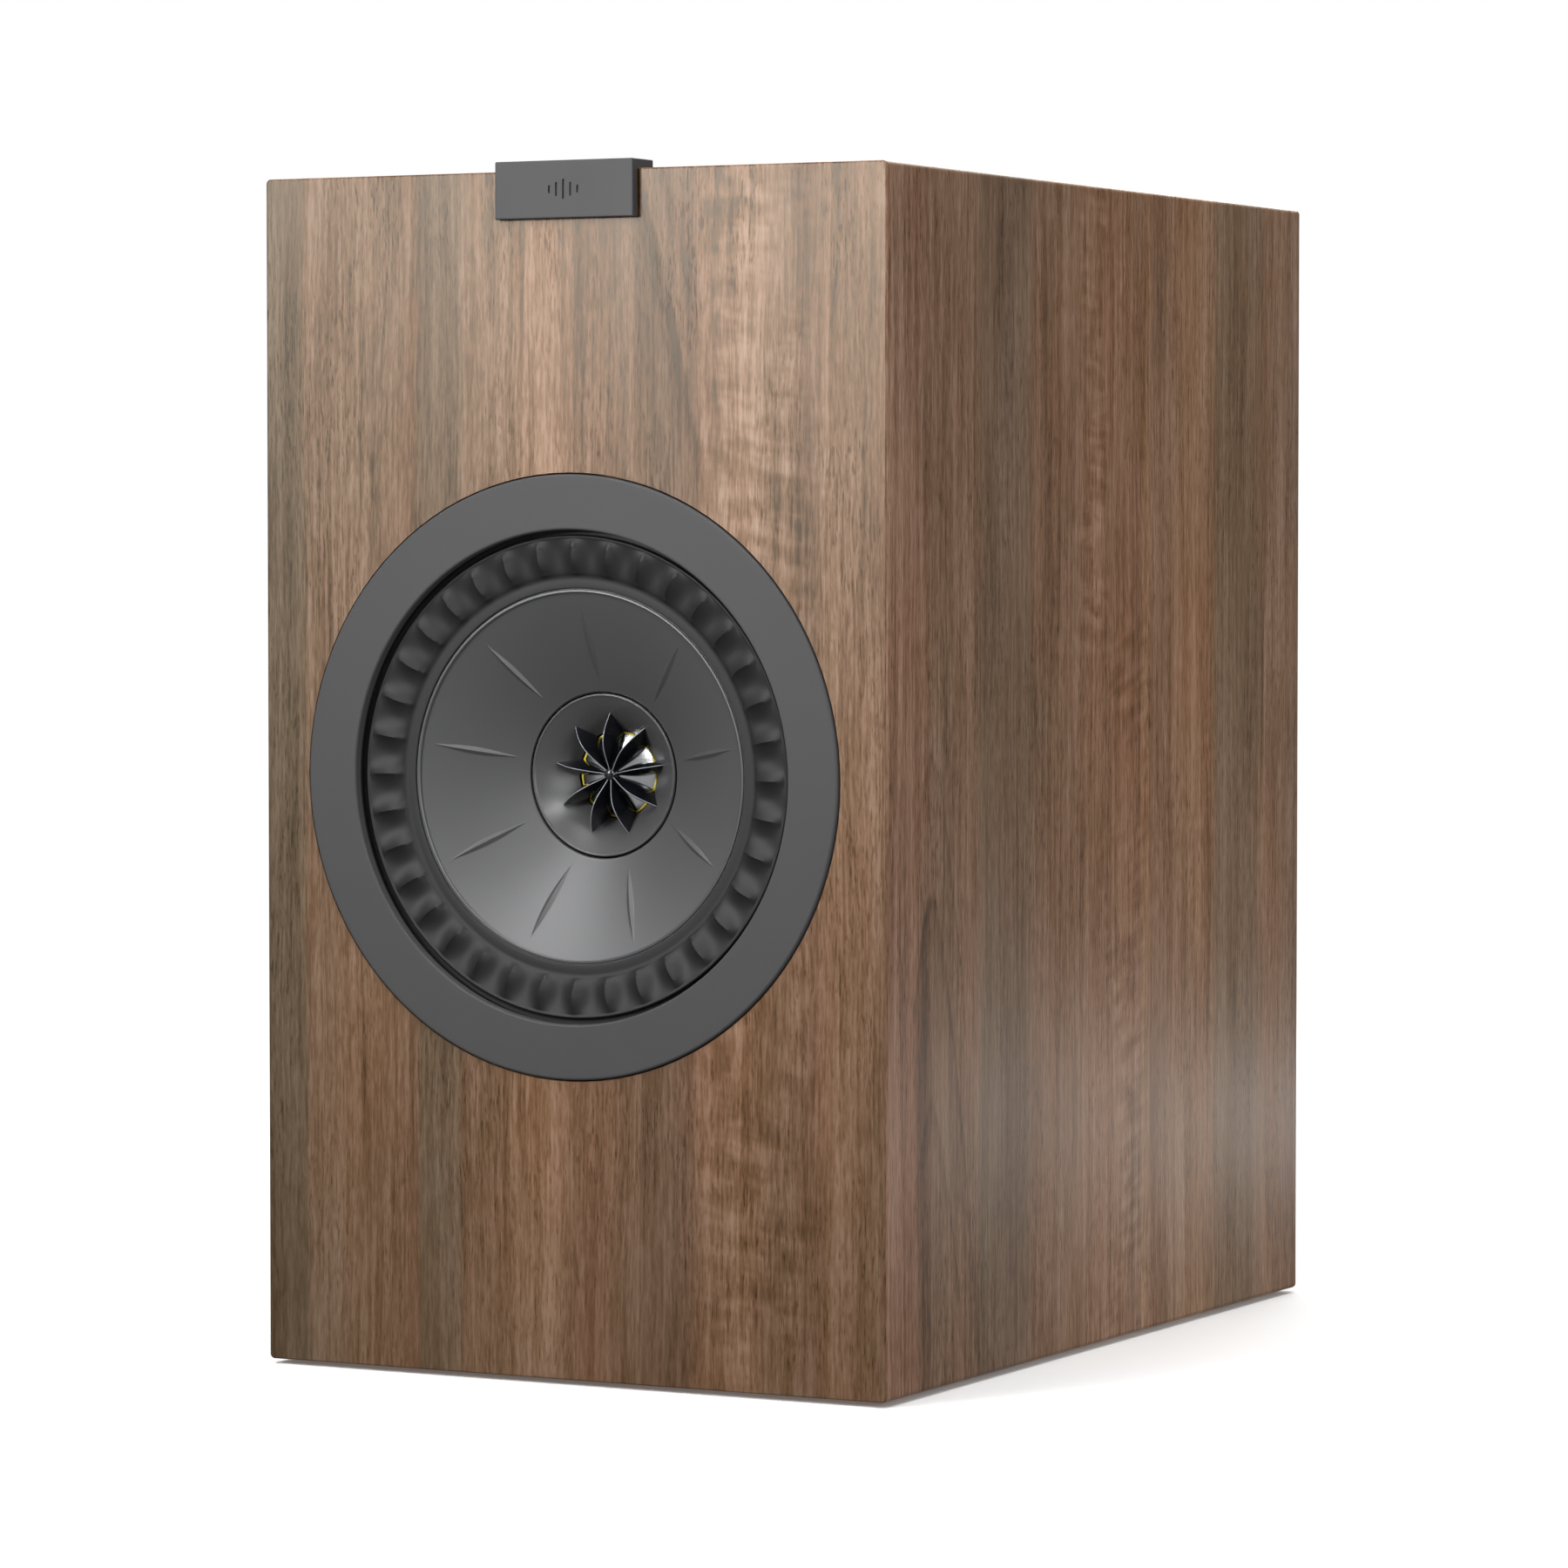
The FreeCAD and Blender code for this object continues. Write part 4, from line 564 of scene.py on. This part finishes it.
def board_finish():
    """Printed board: green mask with slightly raised broad tracks."""
    f = Finish("board_green", Coat_Weight=0.3)
    cells = f.tree.nodes.new("ShaderNodeTexBrick")
    f.plug(cells.inputs["Vector"], f.vector("MULTIPLY", f.point, (0.05, 0.05, 0.05)))
    cells.inputs["Scale"].default_value = 1.0
    cells.inputs["Mortar Size"].default_value = 0.06
    track = cells.outputs["Fac"]
    weave = f.noise(f.point, (0.5, 0.5, 0.5), 2.0)
    colour = f.mix(track, linear((24, 96, 52)), linear((14, 62, 36)))
    f.colour(f.brighten(colour, f.add(f.around_zero(weave, 0.12), 1.0)))
    f.roughness(f.add(f.around_zero(weave, 0.1), 0.35))
    f.bump(track, 0.035)
    return f


def raw_board_finish():
    """Bare fibreboard, for the brace."""
    f = Finish("raw_fibreboard")
    colour, chips = fibreboard_colour(f)
    f.colour(colour)
    f.roughness(f.add(f.around_zero(chips, 0.1), 0.88))
    f.bump(chips, 0.06)
    return f


front_wood = walnut("walnut_front", "X", "Z", (-HALF_WIDTH, BOTTOM_Z), (WIDTH, HEIGHT), WALNUT_FRONT,
                    front_features, seed=2.3, level=0.98, gain=(0.75, 1.40))
right_wood = walnut("walnut_right", "Y", "Z", (FRONT_Y, BOTTOM_Z), (DEPTH, HEIGHT), WALNUT_SIDE,
                    side_features, seed=5.1)
left_wood = walnut("walnut_left", "Y", "Z", (FRONT_Y, BOTTOM_Z), (DEPTH, HEIGHT),
                   [(DEPTH - p, c) for p, c in reversed(WALNUT_SIDE)], seed=8.7)
rear_wood = walnut("walnut_rear", "X", "Z", (-HALF_WIDTH, BOTTOM_Z), (WIDTH, HEIGHT),
                   [(WIDTH - p, c) for p, c in reversed(WALNUT_FRONT)], seed=13.9)
top_wood = walnut("walnut_top", "Y", "X", (FRONT_Y, -HALF_WIDTH), (DEPTH, WIDTH), WALNUT_SIDE, seed=21.4)

CAD_FINISHES = {
    front_wood: ["front_baffle"],
    right_wood: ["right_side_panel"],
    left_wood: ["left_side_panel"],
    rear_wood: ["rear_panel"],
    top_wood: ["top_panel", "bottom_panel"],
    raw_board_finish(): ["cabinet_brace"],
    foot_black: ["rubber_feet"],
    gasket_black: ["driver_gasket", "terminal_gasket"],
    badge_grey: ["badge"],
    basket_black: ["driver_basket"],
    screw_black: ["driver_screws", "terminal_screws"],
    voice_copper: ["voice_coil_winding", "tweeter_voice_coil"],
    inductor_copper: ["inductor_windings"],
    former_metal_dark_for_gap_shade: ["voice_coil_former"],
    zinc: ["motor_top_plate", "motor_yoke", "tweeter_cup", "tweeter_pole_tip"],
    bright_zinc: ["binding_post_nuts"],
    ferrite_grey: ["ferrite_magnet", "tweeter_magnet", "grille_magnets"],
    horn_black: ["tweeter_chassis", "tweeter_rear_tube"],
    plastic_black: ["port_flare", "port_tube", "terminal_cup", "post_base_collars", "driver_tag_strip",
                    "inductor_bobbins", "board_standoffs"],
    capacitor_black: ["capacitors"],
    post_plating: ["binding_post_studs", "driver_tags", "solder_tags", "red_clamp_washer",
                   "black_clamp_washer", "red_knob_insert", "black_knob_insert"],
    knob_red: ["red_knob"],
    knob_black: ["black_knob"],
    board_finish(): ["crossover_board"],
    cement_white: ["resistors"],
    lead_red: ["red_leads"],
    lead_black: ["black_leads"],
}
for finish, names in CAD_FINISHES.items():
    for node_name in names:
        dress(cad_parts[node_name], finish)


# ---------------------------------------------------------------- driver
def make_trim_ring():
    """The flat ring over the basket's rim, hollow behind."""
    face, land, bore, rim = -1.0, 2.0, 73.2, 89.6
    profile = outline([
        (bore, face + 0.7), ("arc", (bore + 0.2, face + 0.2), (bore + 0.7, face)),
        (rim - 0.8, face), ("arc", (rim - 0.23, face + 0.23), (rim, face + 0.8)),
        (rim, land), (rim - 1.6, land), (rim - 1.6, face + 1.9), (bore + 2.2, face + 1.9),
        (bore + 2.2, land), (bore, land)], 0.12)
    dress(turned("trim_ring_turned", profile, even(360)), ring_grey, "cabinet", ["trim_ring"])


RIDGES = 36
ROLL_OUTER, ROLL_INNER = 70.6, 58.8
ROLL_OUTER_DEPTH, ROLL_INNER_DEPTH = 2.9, 5.35
ROLL_WALL = 0.6
RIDGE_END = 0.92
ARCH_RISE, HOLLOW_DEPTH = 2.85, 2.85
KNUCKLE_RISE, KNUCKLE_BACK, KNUCKLE_WIDTH = 0.55, 0.05, 0.035


def surround_front(share, angle):
    """Depth of the roll's front; share runs from its outer edge to its inner edge.

    Ridges are sharp and bays hollow, and a plain band is left beside the cone.
    """
    base = ROLL_OUTER_DEPTH + (ROLL_INNER_DEPTH - ROLL_OUTER_DEPTH) * share
    reach = min(1.0, share / RIDGE_END)
    arch = math.sin(math.pi * reach ** 1.25) ** 0.75 * ARCH_RISE
    bay = abs(math.sin(RIDGES / 2 * angle)) ** 0.8
    hollow = math.sin(math.pi * reach ** 1.12) ** 0.85 * HOLLOW_DEPTH * bay
    from_knuckle = (share - RIDGE_END + KNUCKLE_BACK) / KNUCKLE_WIDTH
    knuckle = KNUCKLE_RISE * math.exp(-from_knuckle ** 2) * (1 - bay) ** 3
    return base - arch + hollow - knuckle


def make_surround():
    """The rubber roll: a flange under the trim ring, the ribbed roll, and a lip on the cone's edge."""
    steps = 36
    shares = [i / steps for i in range(steps + 1)]
    radii = [ROLL_OUTER + (ROLL_INNER - ROLL_OUTER) * s for s in shares]
    front = [(r, 0.0) for r in radii]
    outer = outline([(69.8, 5.0), (73.4, 5.0), (73.4, 4.2), (71.9, 4.2), (71.6, 3.9), (71.6, 3.1),
                     ("arc", (71.35, 2.75), (71.0, 2.7))], 0.2)
    inner = outline([(58.2, 5.3), (56.2, 5.3), ("arc", (55.95, 5.4), (55.85, 5.6)), (55.85, 5.88),
                     (58.6, 5.88)], 0.2)
    back = [(r, 0.0) for r in reversed(radii[2:-1])]
    profile = outer + front + inner + back
    first, last = len(outer), len(outer) + len(front)
    back_start = last + len(inner)
    back_shares = list(reversed(shares[2:-1]))

    def shape(angle, index, radius, depth):
        if first <= index < last:
            return radius, surround_front(shares[index - first], angle)
        if index >= back_start:
            share = back_shares[index - back_start]
            return radius, surround_front(share, angle) + ROLL_WALL
        return radius, depth

    made = turned("surround_ribbed", profile, even(RIDGES * 20), shape, sharp=60.0)
    dress(made, surround_black, replaced=["surround"])
    flex_radially(made)


CREASES = 9
CREASE_START, CREASE_END = 29.0, 51.0
CREASE_HALF, CREASE_HEIGHT = 1.15, 0.8
CONE_STEP = 0.5
CONE_FRONT = [(25.35, 20.62), ("arc", (40.0, 12.7), (54.6, 6.2))]


def make_cone():
    """The shallow cone, with raised creases on its front that fade out at both ends."""
    profile = outline(CONE_FRONT + [
        ("arc", (55.1, 5.4), (55.6, 5.9)), (58.4, 5.9), (58.4, 6.6), (54.8, 7.0),
        ("arc", (40.4, 13.5), (26.3, 21.6)), (26.0, 24.8), (25.1, 24.8), (25.1, 20.9),
        ("arc", (25.18, 20.7), (25.35, 20.62))], CONE_STEP)[:-1]
    front_rows = len(outline(CONE_FRONT, CONE_STEP))
    period = 2 * math.pi / CREASES
    fine = [math.radians(0.2 * i) for i in range(-12, 13)]
    gap = period - 2 * fine[-1]
    coarse = [fine[-1] + gap * i / 24 for i in range(1, 24)]
    angles = [period * k + a for k in range(CREASES) for a in fine + coarse]

    def shape(angle, index, radius, depth):
        if index >= front_rows or not CREASE_START < radius < CREASE_END:
            return radius, depth
        share = (radius - CREASE_START) / (CREASE_END - CREASE_START)
        swell = math.sin(math.pi * share)
        beside = abs((angle + period / 2) % period - period / 2) * radius
        height = CREASE_HEIGHT * swell ** 0.8 * max(0.0, 1 - beside / max(0.25, CREASE_HALF * swell))
        return radius, depth - height

    made = turned("cone_creased", profile, angles, shape, sharp=40.0)
    dress(made, cone_finish(), "woofer_cone", ["cone"])


def make_waveguide():
    """The short horn round the dome, with a rolled rim and a skirt."""
    profile = outline([
        (13.4, 30.0), ("arc", (18.9, 24.5), (23.45, 20.9)), ("arc", (24.15, 20.62), (24.4, 21.2)),
        (24.4, 28.0), (22.8, 28.0), (22.8, 23.6), (17.9, 27.7), (17.9, 31.0), (16.0, 31.0), (16.0, 30.4),
        (13.4, 30.4)], 0.25)
    made = turned("waveguide_turned", profile, even(240))
    dress(made, horn_black, "cabinet", ["tweeter_waveguide"])


DOME_RADIUS, DOME_RIM, DOME_HEIGHT, DOME_WALL = 12.4, 30.6, 4.1, 0.3
DOME_SPHERE = (DOME_RADIUS ** 2 + DOME_HEIGHT ** 2) / (2 * DOME_HEIGHT)
DOME_CENTRE = DOME_RIM - DOME_HEIGHT + DOME_SPHERE


def over_dome(radius, clear=0.0):
    """Depth of a sphere that clears the dome by that much, at a radius."""
    return DOME_CENTRE - math.sqrt((DOME_SPHERE + clear) ** 2 - radius ** 2)


def make_dome():
    """The metal dome and the coloured ring at its edge."""
    steps = 28
    front = [(DOME_RADIUS * i / steps, over_dome(DOME_RADIUS * i / steps)) for i in range(steps + 1)]
    inner = DOME_RADIUS - DOME_WALL
    back = [(inner * i / steps, over_dome(inner * i / steps, -DOME_WALL)) for i in range(steps, -1, -1)]
    profile = front + [(DOME_RADIUS, DOME_RIM + 0.6), (inner, DOME_RIM + 0.6)] + back
    made = turned("dome_spun", profile, even(120), closed=False)
    dress(made, dome_metal, "tweeter_diaphragm", ["tweeter_dome"])
    ring = turned("dome_edge_turned", outline([
        (12.4, 30.6), (12.8, 30.6), ("arc", (12.94, 30.66), (13.0, 30.8)), (13.0, 31.2), (12.4, 31.2)], 0.06),
        even(160))
    dress(ring, edge_gold, "tweeter_diaphragm", ["dome_edge_ring"])


def make_tweeter_surround():
    """The small half roll between the dome's edge and the tweeter's body."""
    profile = outline([
        (13.0, 31.0), (13.3, 31.0), ("arc", (14.55, 32.2), (15.8, 31.0)), (17.6, 31.0), (17.6, 31.25),
        (16.0, 31.25), ("arc", (14.55, 32.45), (13.1, 31.25)), (13.0, 31.25)], 0.15)
    made = turned("tweeter_surround_turned", profile, even(160))
    dress(made, surround_black, replaced=["tweeter_surround"])
    flex_radially(made)


FINS = 9
FIN_ROOT, FIN_TIP = 1.4, 18.6
FIN_EDGE, FIN_FLARE = 0.32, 0.37
FIN_CLEAR, FIN_OVER_DOME = 0.8, 12.8
FIN_CREST = [(1.4, 24.4), (4.0, 22.9), (7.0, 21.2), (10.0, 20.5), (14.0, 21.6), (18.6, 25.0)]
FIN_FOOT = [(13.9, 29.9), (16.2, 27.7), (18.6, 25.45)]
FIN_LEAF = [(1.0, 0.35), (4.0, 1.05), (7.0, 1.9), (9.5, 2.25), (12.0, 2.1), (15.0, 1.4), (17.5, 0.7), (19.0, 0.25)]
FIN_FRONT = np.polynomial.Polynomial.fit(*zip(*FIN_CREST), 5)
FIN_HALF_WIDTH = np.polynomial.Polynomial.fit(*zip(*FIN_LEAF), 6)
FIN_LEAST_HALF, FIN_LEAST_DEPTH = 0.16, 0.3


def fin_finish():
    """Gloss black blades with a painted highlight: their thin front edges are coloured pale grey to stand in for the
    glint of light on the rounded crest.
    """
    f = Finish("fin_gloss_black_painted_edge_highlight", Coat_Weight=0.5)
    near, reach, span = 18.0, 10.0, 20.0
    radii = np.linspace(FIN_ROOT, FIN_TIP, 18)
    stops = [(r / span, (float(FIN_FRONT(r)) - near) / reach) for r in radii]
    level = f.ramp(f.times(f.off_axis(driver_centre), 1 / span), stops, False)
    front = f.math("MULTIPLY_ADD", level, reach, near + FRONT_Y)
    # painted highlight: a band just behind each blade's front crest, placed by the crest's depth at each radius
    edge = f.step(f.math("SUBTRACT", f.axis(f.point, "Y"), front), 0.18, 0.04)
    fine = f.noise(f.point, (0.6,) * 3, 3.0, 0.6)
    black = f.brighten(linear((14, 15, 20)), f.add(f.around_zero(fine, 0.12), 1.0))
    # the pale grey mixed over the black is the painted highlight on the front edges
    f.colour(f.mix(edge, black, linear((132, 134, 140))))
    f.roughness(f.add(f.around_zero(fine, 0.06), 0.22))
    f.bump(fine, 0.002)
    return f


def fin_blade(angle, vertices, faces):
    """One radial blade, leaf shaped from the front: a rounded thin front edge, widening towards the dome."""
    feet = [(FIN_OVER_DOME, over_dome(FIN_OVER_DOME, FIN_CLEAR))] + FIN_FOOT
    out = Vector((math.sin(angle), 0, math.cos(angle)))
    side = Vector((math.cos(angle), 0, -math.sin(angle)))
    steps, flank, bow = 52, 7, 6
    edge = FIN_EDGE / 2
    start = len(vertices)
    for i in range(steps + 1):
        radius = FIN_ROOT + (FIN_TIP - FIN_ROOT) * i / steps
        top = FIN_FRONT(radius)
        beyond = radius >= FIN_OVER_DOME
        foot = float(np.interp(radius, *zip(*feet))) if beyond else over_dome(radius, FIN_CLEAR)
        foot = max(foot, top + FIN_LEAST_DEPTH)
        limit = max(FIN_LEAST_HALF, FIN_HALF_WIDTH(radius))
        right = []
        for k in range(flank):
            depth = foot + (top + edge - foot) * k / flank
            wide = edge + FIN_FLARE * (depth - top - edge)
            right.append((wide / (1 + (wide / limit) ** 4) ** 0.25, depth))
        arc = [(edge * math.cos(math.pi * k / bow), top + edge - edge * math.sin(math.pi * k / bow))
               for k in range(bow + 1)]
        ring = right + arc + [(-half, depth) for half, depth in reversed(right)]
        for half, depth in ring:
            vertices.append((out * radius + side * half + Vector((0, FRONT_Y + depth, DRIVER_Z))) * MM)
    section = len(ring)
    for i in range(steps):
        for k in range(section):
            m = (k + 1) % section
            a, b = start + i * section, start + (i + 1) * section
            faces.append((a + k, a + m, b + m, b + k))
    faces.append(tuple(start + k for k in range(section)))
    faces.append(tuple(start + steps * section + k for k in range(section)))


def make_fins():
    """The blades, which start inside one small rounded hub."""
    vertices, faces = [], []
    for i in range(FINS):
        fin_blade(2 * math.pi * i / FINS, vertices, faces)
    blades = piece("waveguide_fin_blades", vertices, faces, 50.0)
    dress(blades, fin_finish(), "cabinet", ["waveguide_fins"])
    hub_front, hub = 23.9, 2.0
    profile = outline([(0.0, hub_front), ("arc", (1.35, hub_front + 0.25), (hub, hub_front + 1.0)),
                       (hub, over_dome(hub, FIN_CLEAR)), (0.0, over_dome(0.0, FIN_CLEAR))], 0.15)
    made = turned("waveguide_fin_hub", profile, even(48), closed=False)
    dress(made, hub_black, "cabinet", ["waveguide_fins"])


SPIDER_INNER, SPIDER_OUTER, SPIDER_WAVES = 26.4, 44.5, 5


def make_spider():
    """The corrugated cloth disc that centres the voice coil."""
    middle, wall, swing = 43.4, 0.6, 1.1
    steps = SPIDER_WAVES * 16
    shares = [i / steps for i in range(steps + 1)]
    front = [(SPIDER_INNER + (SPIDER_OUTER - SPIDER_INNER) * s,
              middle + swing * math.sin(2 * math.pi * SPIDER_WAVES * s)) for s in shares]
    back = [(r, d + wall) for r, d in reversed(front)]
    profile = ([(25.1, middle - 2), (25.6, middle - 2), (25.6, middle - 0.2)] + front
               + [(50.2, middle), (50.2, middle + wall)] + back + [(25.1, middle + wall)])
    made = turned("spider_corrugated", profile, even(200))
    dress(made, spider_cloth, replaced=["spider"])
    flex_radially(made)


TINSEL_RADIUS, TINSEL_ANGLE = 0.4, 14.0
TINSEL_BENDS = [(9.5, 27.5, -39.0), (11.0, 27.0, -46.5), (12.0, 31.0, -53.0), (12.0, 37.5, -56.5),
                (12.0, 44.0, -56.5)]


def make_tinsel_leads():
    """Two braided leads from the moving coil former to the tag strip."""
    away = math.radians(TINSEL_ANGLE)
    outward = Vector((math.sin(away), 0, -math.cos(away)))
    start = outward * 25.1 + Vector((0, 32.0, 0))
    route = [start, start + outward * 8] + [Vector(p) for p in TINSEL_BENDS]
    vertices, faces = [], []
    for mirror in (1, -1):
        path = [Vector((p.x * mirror, p.y + FRONT_Y, p.z + DRIVER_Z)) * MM for p in smooth_path(route)]
        count = len(vertices)
        more, closed = tube(path, TINSEL_RADIUS * MM)
        vertices += more
        faces += [tuple(count + k for k in face) for face in closed]
    made = piece("tinsel_lead_pair", vertices, faces)
    dress(made, braid_copper, replaced=["tinsel_leads"])
    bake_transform(made)


WADDING_SHEETS = 3
WADDING_CELL, WADDING_RIM = 5.0, 7.0
WADDING_ROUND = 0.9
WADDING_LUMP, WADDING_FLUFF = 22.0, 6.0
SHRINK_LUMP, SHRINK_FLUFF = 0.16, 0.07
THIN_LUMP, THIN_FLUFF = 0.22, 0.10


def wadding_sheet(low, high, vertices, faces):
    """A soft slab inside the box from low to high: rounded rims, lumpy faces that stay inside it."""
    size = high - low
    work = bmesh.new()
    counts = [max(2, int(round(s / WADDING_CELL))) for s in size]
    grid = {}

    def vertex(i, j, k):
        key = (i, j, k)
        if key not in grid:
            unit = Vector((i / counts[0], j / counts[1], k / counts[2])) * 2 - Vector((1, 1, 1))
            grid[key] = work.verts.new(unit)
        return grid[key]

    for axis in range(3):
        a, b = [n for n in range(3) if n != axis]
        for end in (0, counts[axis]):
            for i in range(counts[a]):
                for j in range(counts[b]):
                    corners = []
                    for da, db in ((0, 0), (1, 0), (1, 1), (0, 1)):
                        index = [0, 0, 0]
                        index[axis], index[a], index[b] = end, i + da, j + db
                        corners.append(vertex(*index))
                    work.faces.new(corners)
    start = len(vertices)
    work.verts.index_update()
    middle, half = (low + high) / 2, size / 2
    thin = min(range(3), key=lambda n: half[n])
    rims = [min(WADDING_RIM, h * WADDING_ROUND) for h in half]
    for v in work.verts:
        point = Vector([v.co[n] * half[n] for n in range(3)])
        reach = [max(0.0, abs(point[n]) - (half[n] - rims[n])) for n in range(3)]
        over = math.sqrt(sum(r * r for r in reach))
        if over > rims[thin]:
            for n in range(3):
                point[n] -= math.copysign(reach[n] * (1 - rims[thin] / over), point[n])
        lump = 0.5 + 0.5 * noise.noise((middle + point) / WADDING_LUMP)
        fluff = 0.5 + 0.5 * noise.noise((middle + point) / WADDING_FLUFF)
        far = max(1.0, max(abs(c) for c in point))
        shrink = 1 - (SHRINK_LUMP * lump + SHRINK_FLUFF * fluff) * (half[thin] / far)
        point[thin] *= 1 - THIN_LUMP * lump - THIN_FLUFF * fluff
        vertices.append((middle + point * shrink) * MM)
    faces += [tuple(start + v.index for v in face.verts) for face in work.faces]
    work.free()


def make_wadding():
    """The CAD solid's three sheets, found from its vertices: two on the side walls and one under the top."""
    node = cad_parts["acoustic_wadding"]
    points = np.array([v.co for v in node.data.vertices]) / MM
    groups = [points[points[:, 0] > 60], points[points[:, 0] < -60],
              points[(abs(points[:, 0]) <= 75) & (points[:, 1] < -20)]]
    assert len(groups) == WADDING_SHEETS
    vertices, faces = [], []
    for group in groups:
        wadding_sheet(Vector(group.min(0)), Vector(group.max(0)), vertices, faces)
    made = piece("wadding_sheets", vertices, faces, 180.0)
    dress(made, wadding_white, "cabinet", ["acoustic_wadding"])


make_trim_ring()
make_surround()
make_cone()
make_waveguide()
make_dome()
make_tweeter_surround()
make_fins()
make_spider()
make_tinsel_leads()
make_wadding()


# ---------------------------------------------------------------- stage
FLOOR_HALF, FLOOR_CELLS = 9.0, 24
FLOOR_TONE, FLOOR_GLOW = 0.94, 0.08


def make_floor():
    """A plain pale floor under the feet."""
    half, count = FLOOR_HALF, FLOOR_CELLS
    vertices = [((i / count * 2 - 1) * half, (j / count * 2 - 1) * half, 0.0)
                for i in range(count + 1) for j in range(count + 1)]
    row = count + 1
    faces = [(i * row + j, (i + 1) * row + j, (i + 1) * row + j + 1, i * row + j + 1)
             for i in range(count) for j in range(count)]
    floor = piece("studio_floor", vertices, faces)
    f = Finish("pale_floor")
    f.shader.inputs["Specular IOR Level"].default_value = 0.1
    cloud = f.noise(f.point, (900.0, 900.0, 900.0), 1.0)
    f.colour(f.brighten((FLOOR_TONE, FLOOR_TONE, FLOOR_TONE, 1.0), f.add(f.around_zero(cloud, 0.01), 1.0)))
    f.roughness(f.add(f.around_zero(cloud, 0.02), 0.9))
    f.shader.inputs["Emission Color"].default_value = (1.0, 1.0, 1.0, 1.0)
    f.shader.inputs["Emission Strength"].default_value = FLOOR_GLOW
    dress(floor, f)
    floor.visible_diffuse = False
    floor.visible_glossy = False


def area_light(name, place, target, size, watts, spread):
    """A soft box that the camera doesn't see."""
    light = bpy.data.lights.new(name, "AREA")
    light.shape = "RECTANGLE"
    light.size, light.size_y = size
    light.energy = watts
    light.spread = math.radians(spread)
    holder = bpy.data.objects.new(name, light)
    holder.location = place
    holder.rotation_euler = (Vector(target) - Vector(place)).to_track_quat("-Z", "Y").to_euler()
    holder.visible_camera = False
    bpy.context.scene.collection.objects.link(holder)


SUN, SUN_ANGLE, SUN_AIM = 2.4, 50.0, (-0.05, 0.06, -1.0)
AMBIENT = 0.26
# each soft box: place, target and size in metres, watts, spread in degrees
BOXES = {
    "overhead_front_box": ((-0.35, -0.95, 0.95), (0.05, -0.15, 0.20), (0.5, 0.35), 0.72, 60.0),
    "sheen_box": ((-0.58, -1.35, 0.54), (0.05, -0.15, 0.42), (0.35, 0.25), 1.05, 50.0),
    "driver_box": ((0.55, -0.75, 0.75), (0.0, -0.15, 0.19), (0.25, 0.25), 0.075, 24.0),
    "low_rear_box": ((0.30, 0.50, 0.02), (0.105, 0.08, 0.02), (0.30, 0.03), 0.05, 120.0),
    "right_box": ((1.70, -1.00, 0.55), (0.0, 0.0, 0.18), (0.7, 0.9), 4.0, 110.0),
    "rear_box": ((-0.30, 1.40, 0.85), (0.0, 0.15, 0.18), (0.9, 0.7), 3.0, 90.0),
}


def make_lights():
    """A wide sun from above, soft boxes, and a white surround that lights only a little."""
    sun = bpy.data.lights.new("overhead_sun", "SUN")
    sun.energy = SUN
    sun.angle = math.radians(SUN_ANGLE)
    holder = bpy.data.objects.new("overhead_sun", sun)
    holder.rotation_euler = Vector(SUN_AIM).to_track_quat("-Z", "Y").to_euler()
    bpy.context.scene.collection.objects.link(holder)
    for name, settings in BOXES.items():
        area_light(name, *settings)
    world = bpy.data.worlds.new("studio")
    world.use_nodes = True
    tree = world.node_tree
    background = tree.nodes["Background"]
    seen = tree.nodes.new("ShaderNodeLightPath").outputs["Is Camera Ray"]
    level = tree.nodes.new("ShaderNodeMapRange")
    level.inputs["To Min"].default_value = AMBIENT
    level.inputs["To Max"].default_value = 1.0
    tree.links.new(seen, level.inputs["Value"])
    tree.links.new(level.outputs["Result"], background.inputs["Strength"])
    background.inputs["Color"].default_value = (1, 1, 1, 1)
    bpy.context.scene.world = world


CAMERA_PLACE = (0.8843, -1.7090, 0.2524)
CAMERA_YAW, CAMERA_PITCH = 0.4809, -0.0412
CAMERA_SENSOR, CAMERA_LENS = 36.0, 139.16


def make_camera():
    """The photograph's viewing angle, with no shift."""
    camera = bpy.data.cameras.new("camera")
    camera.sensor_width = CAMERA_SENSOR
    camera.lens = CAMERA_LENS
    holder = bpy.data.objects.new("camera", camera)
    holder.location = CAMERA_PLACE
    holder.rotation_euler = (math.pi / 2 + CAMERA_PITCH, 0.0, CAMERA_YAW)
    bpy.context.scene.collection.objects.link(holder)
    bpy.context.scene.camera = holder


make_floor()
make_lights()
make_camera()
bpy.context.scene.view_settings.view_transform = "Standard"
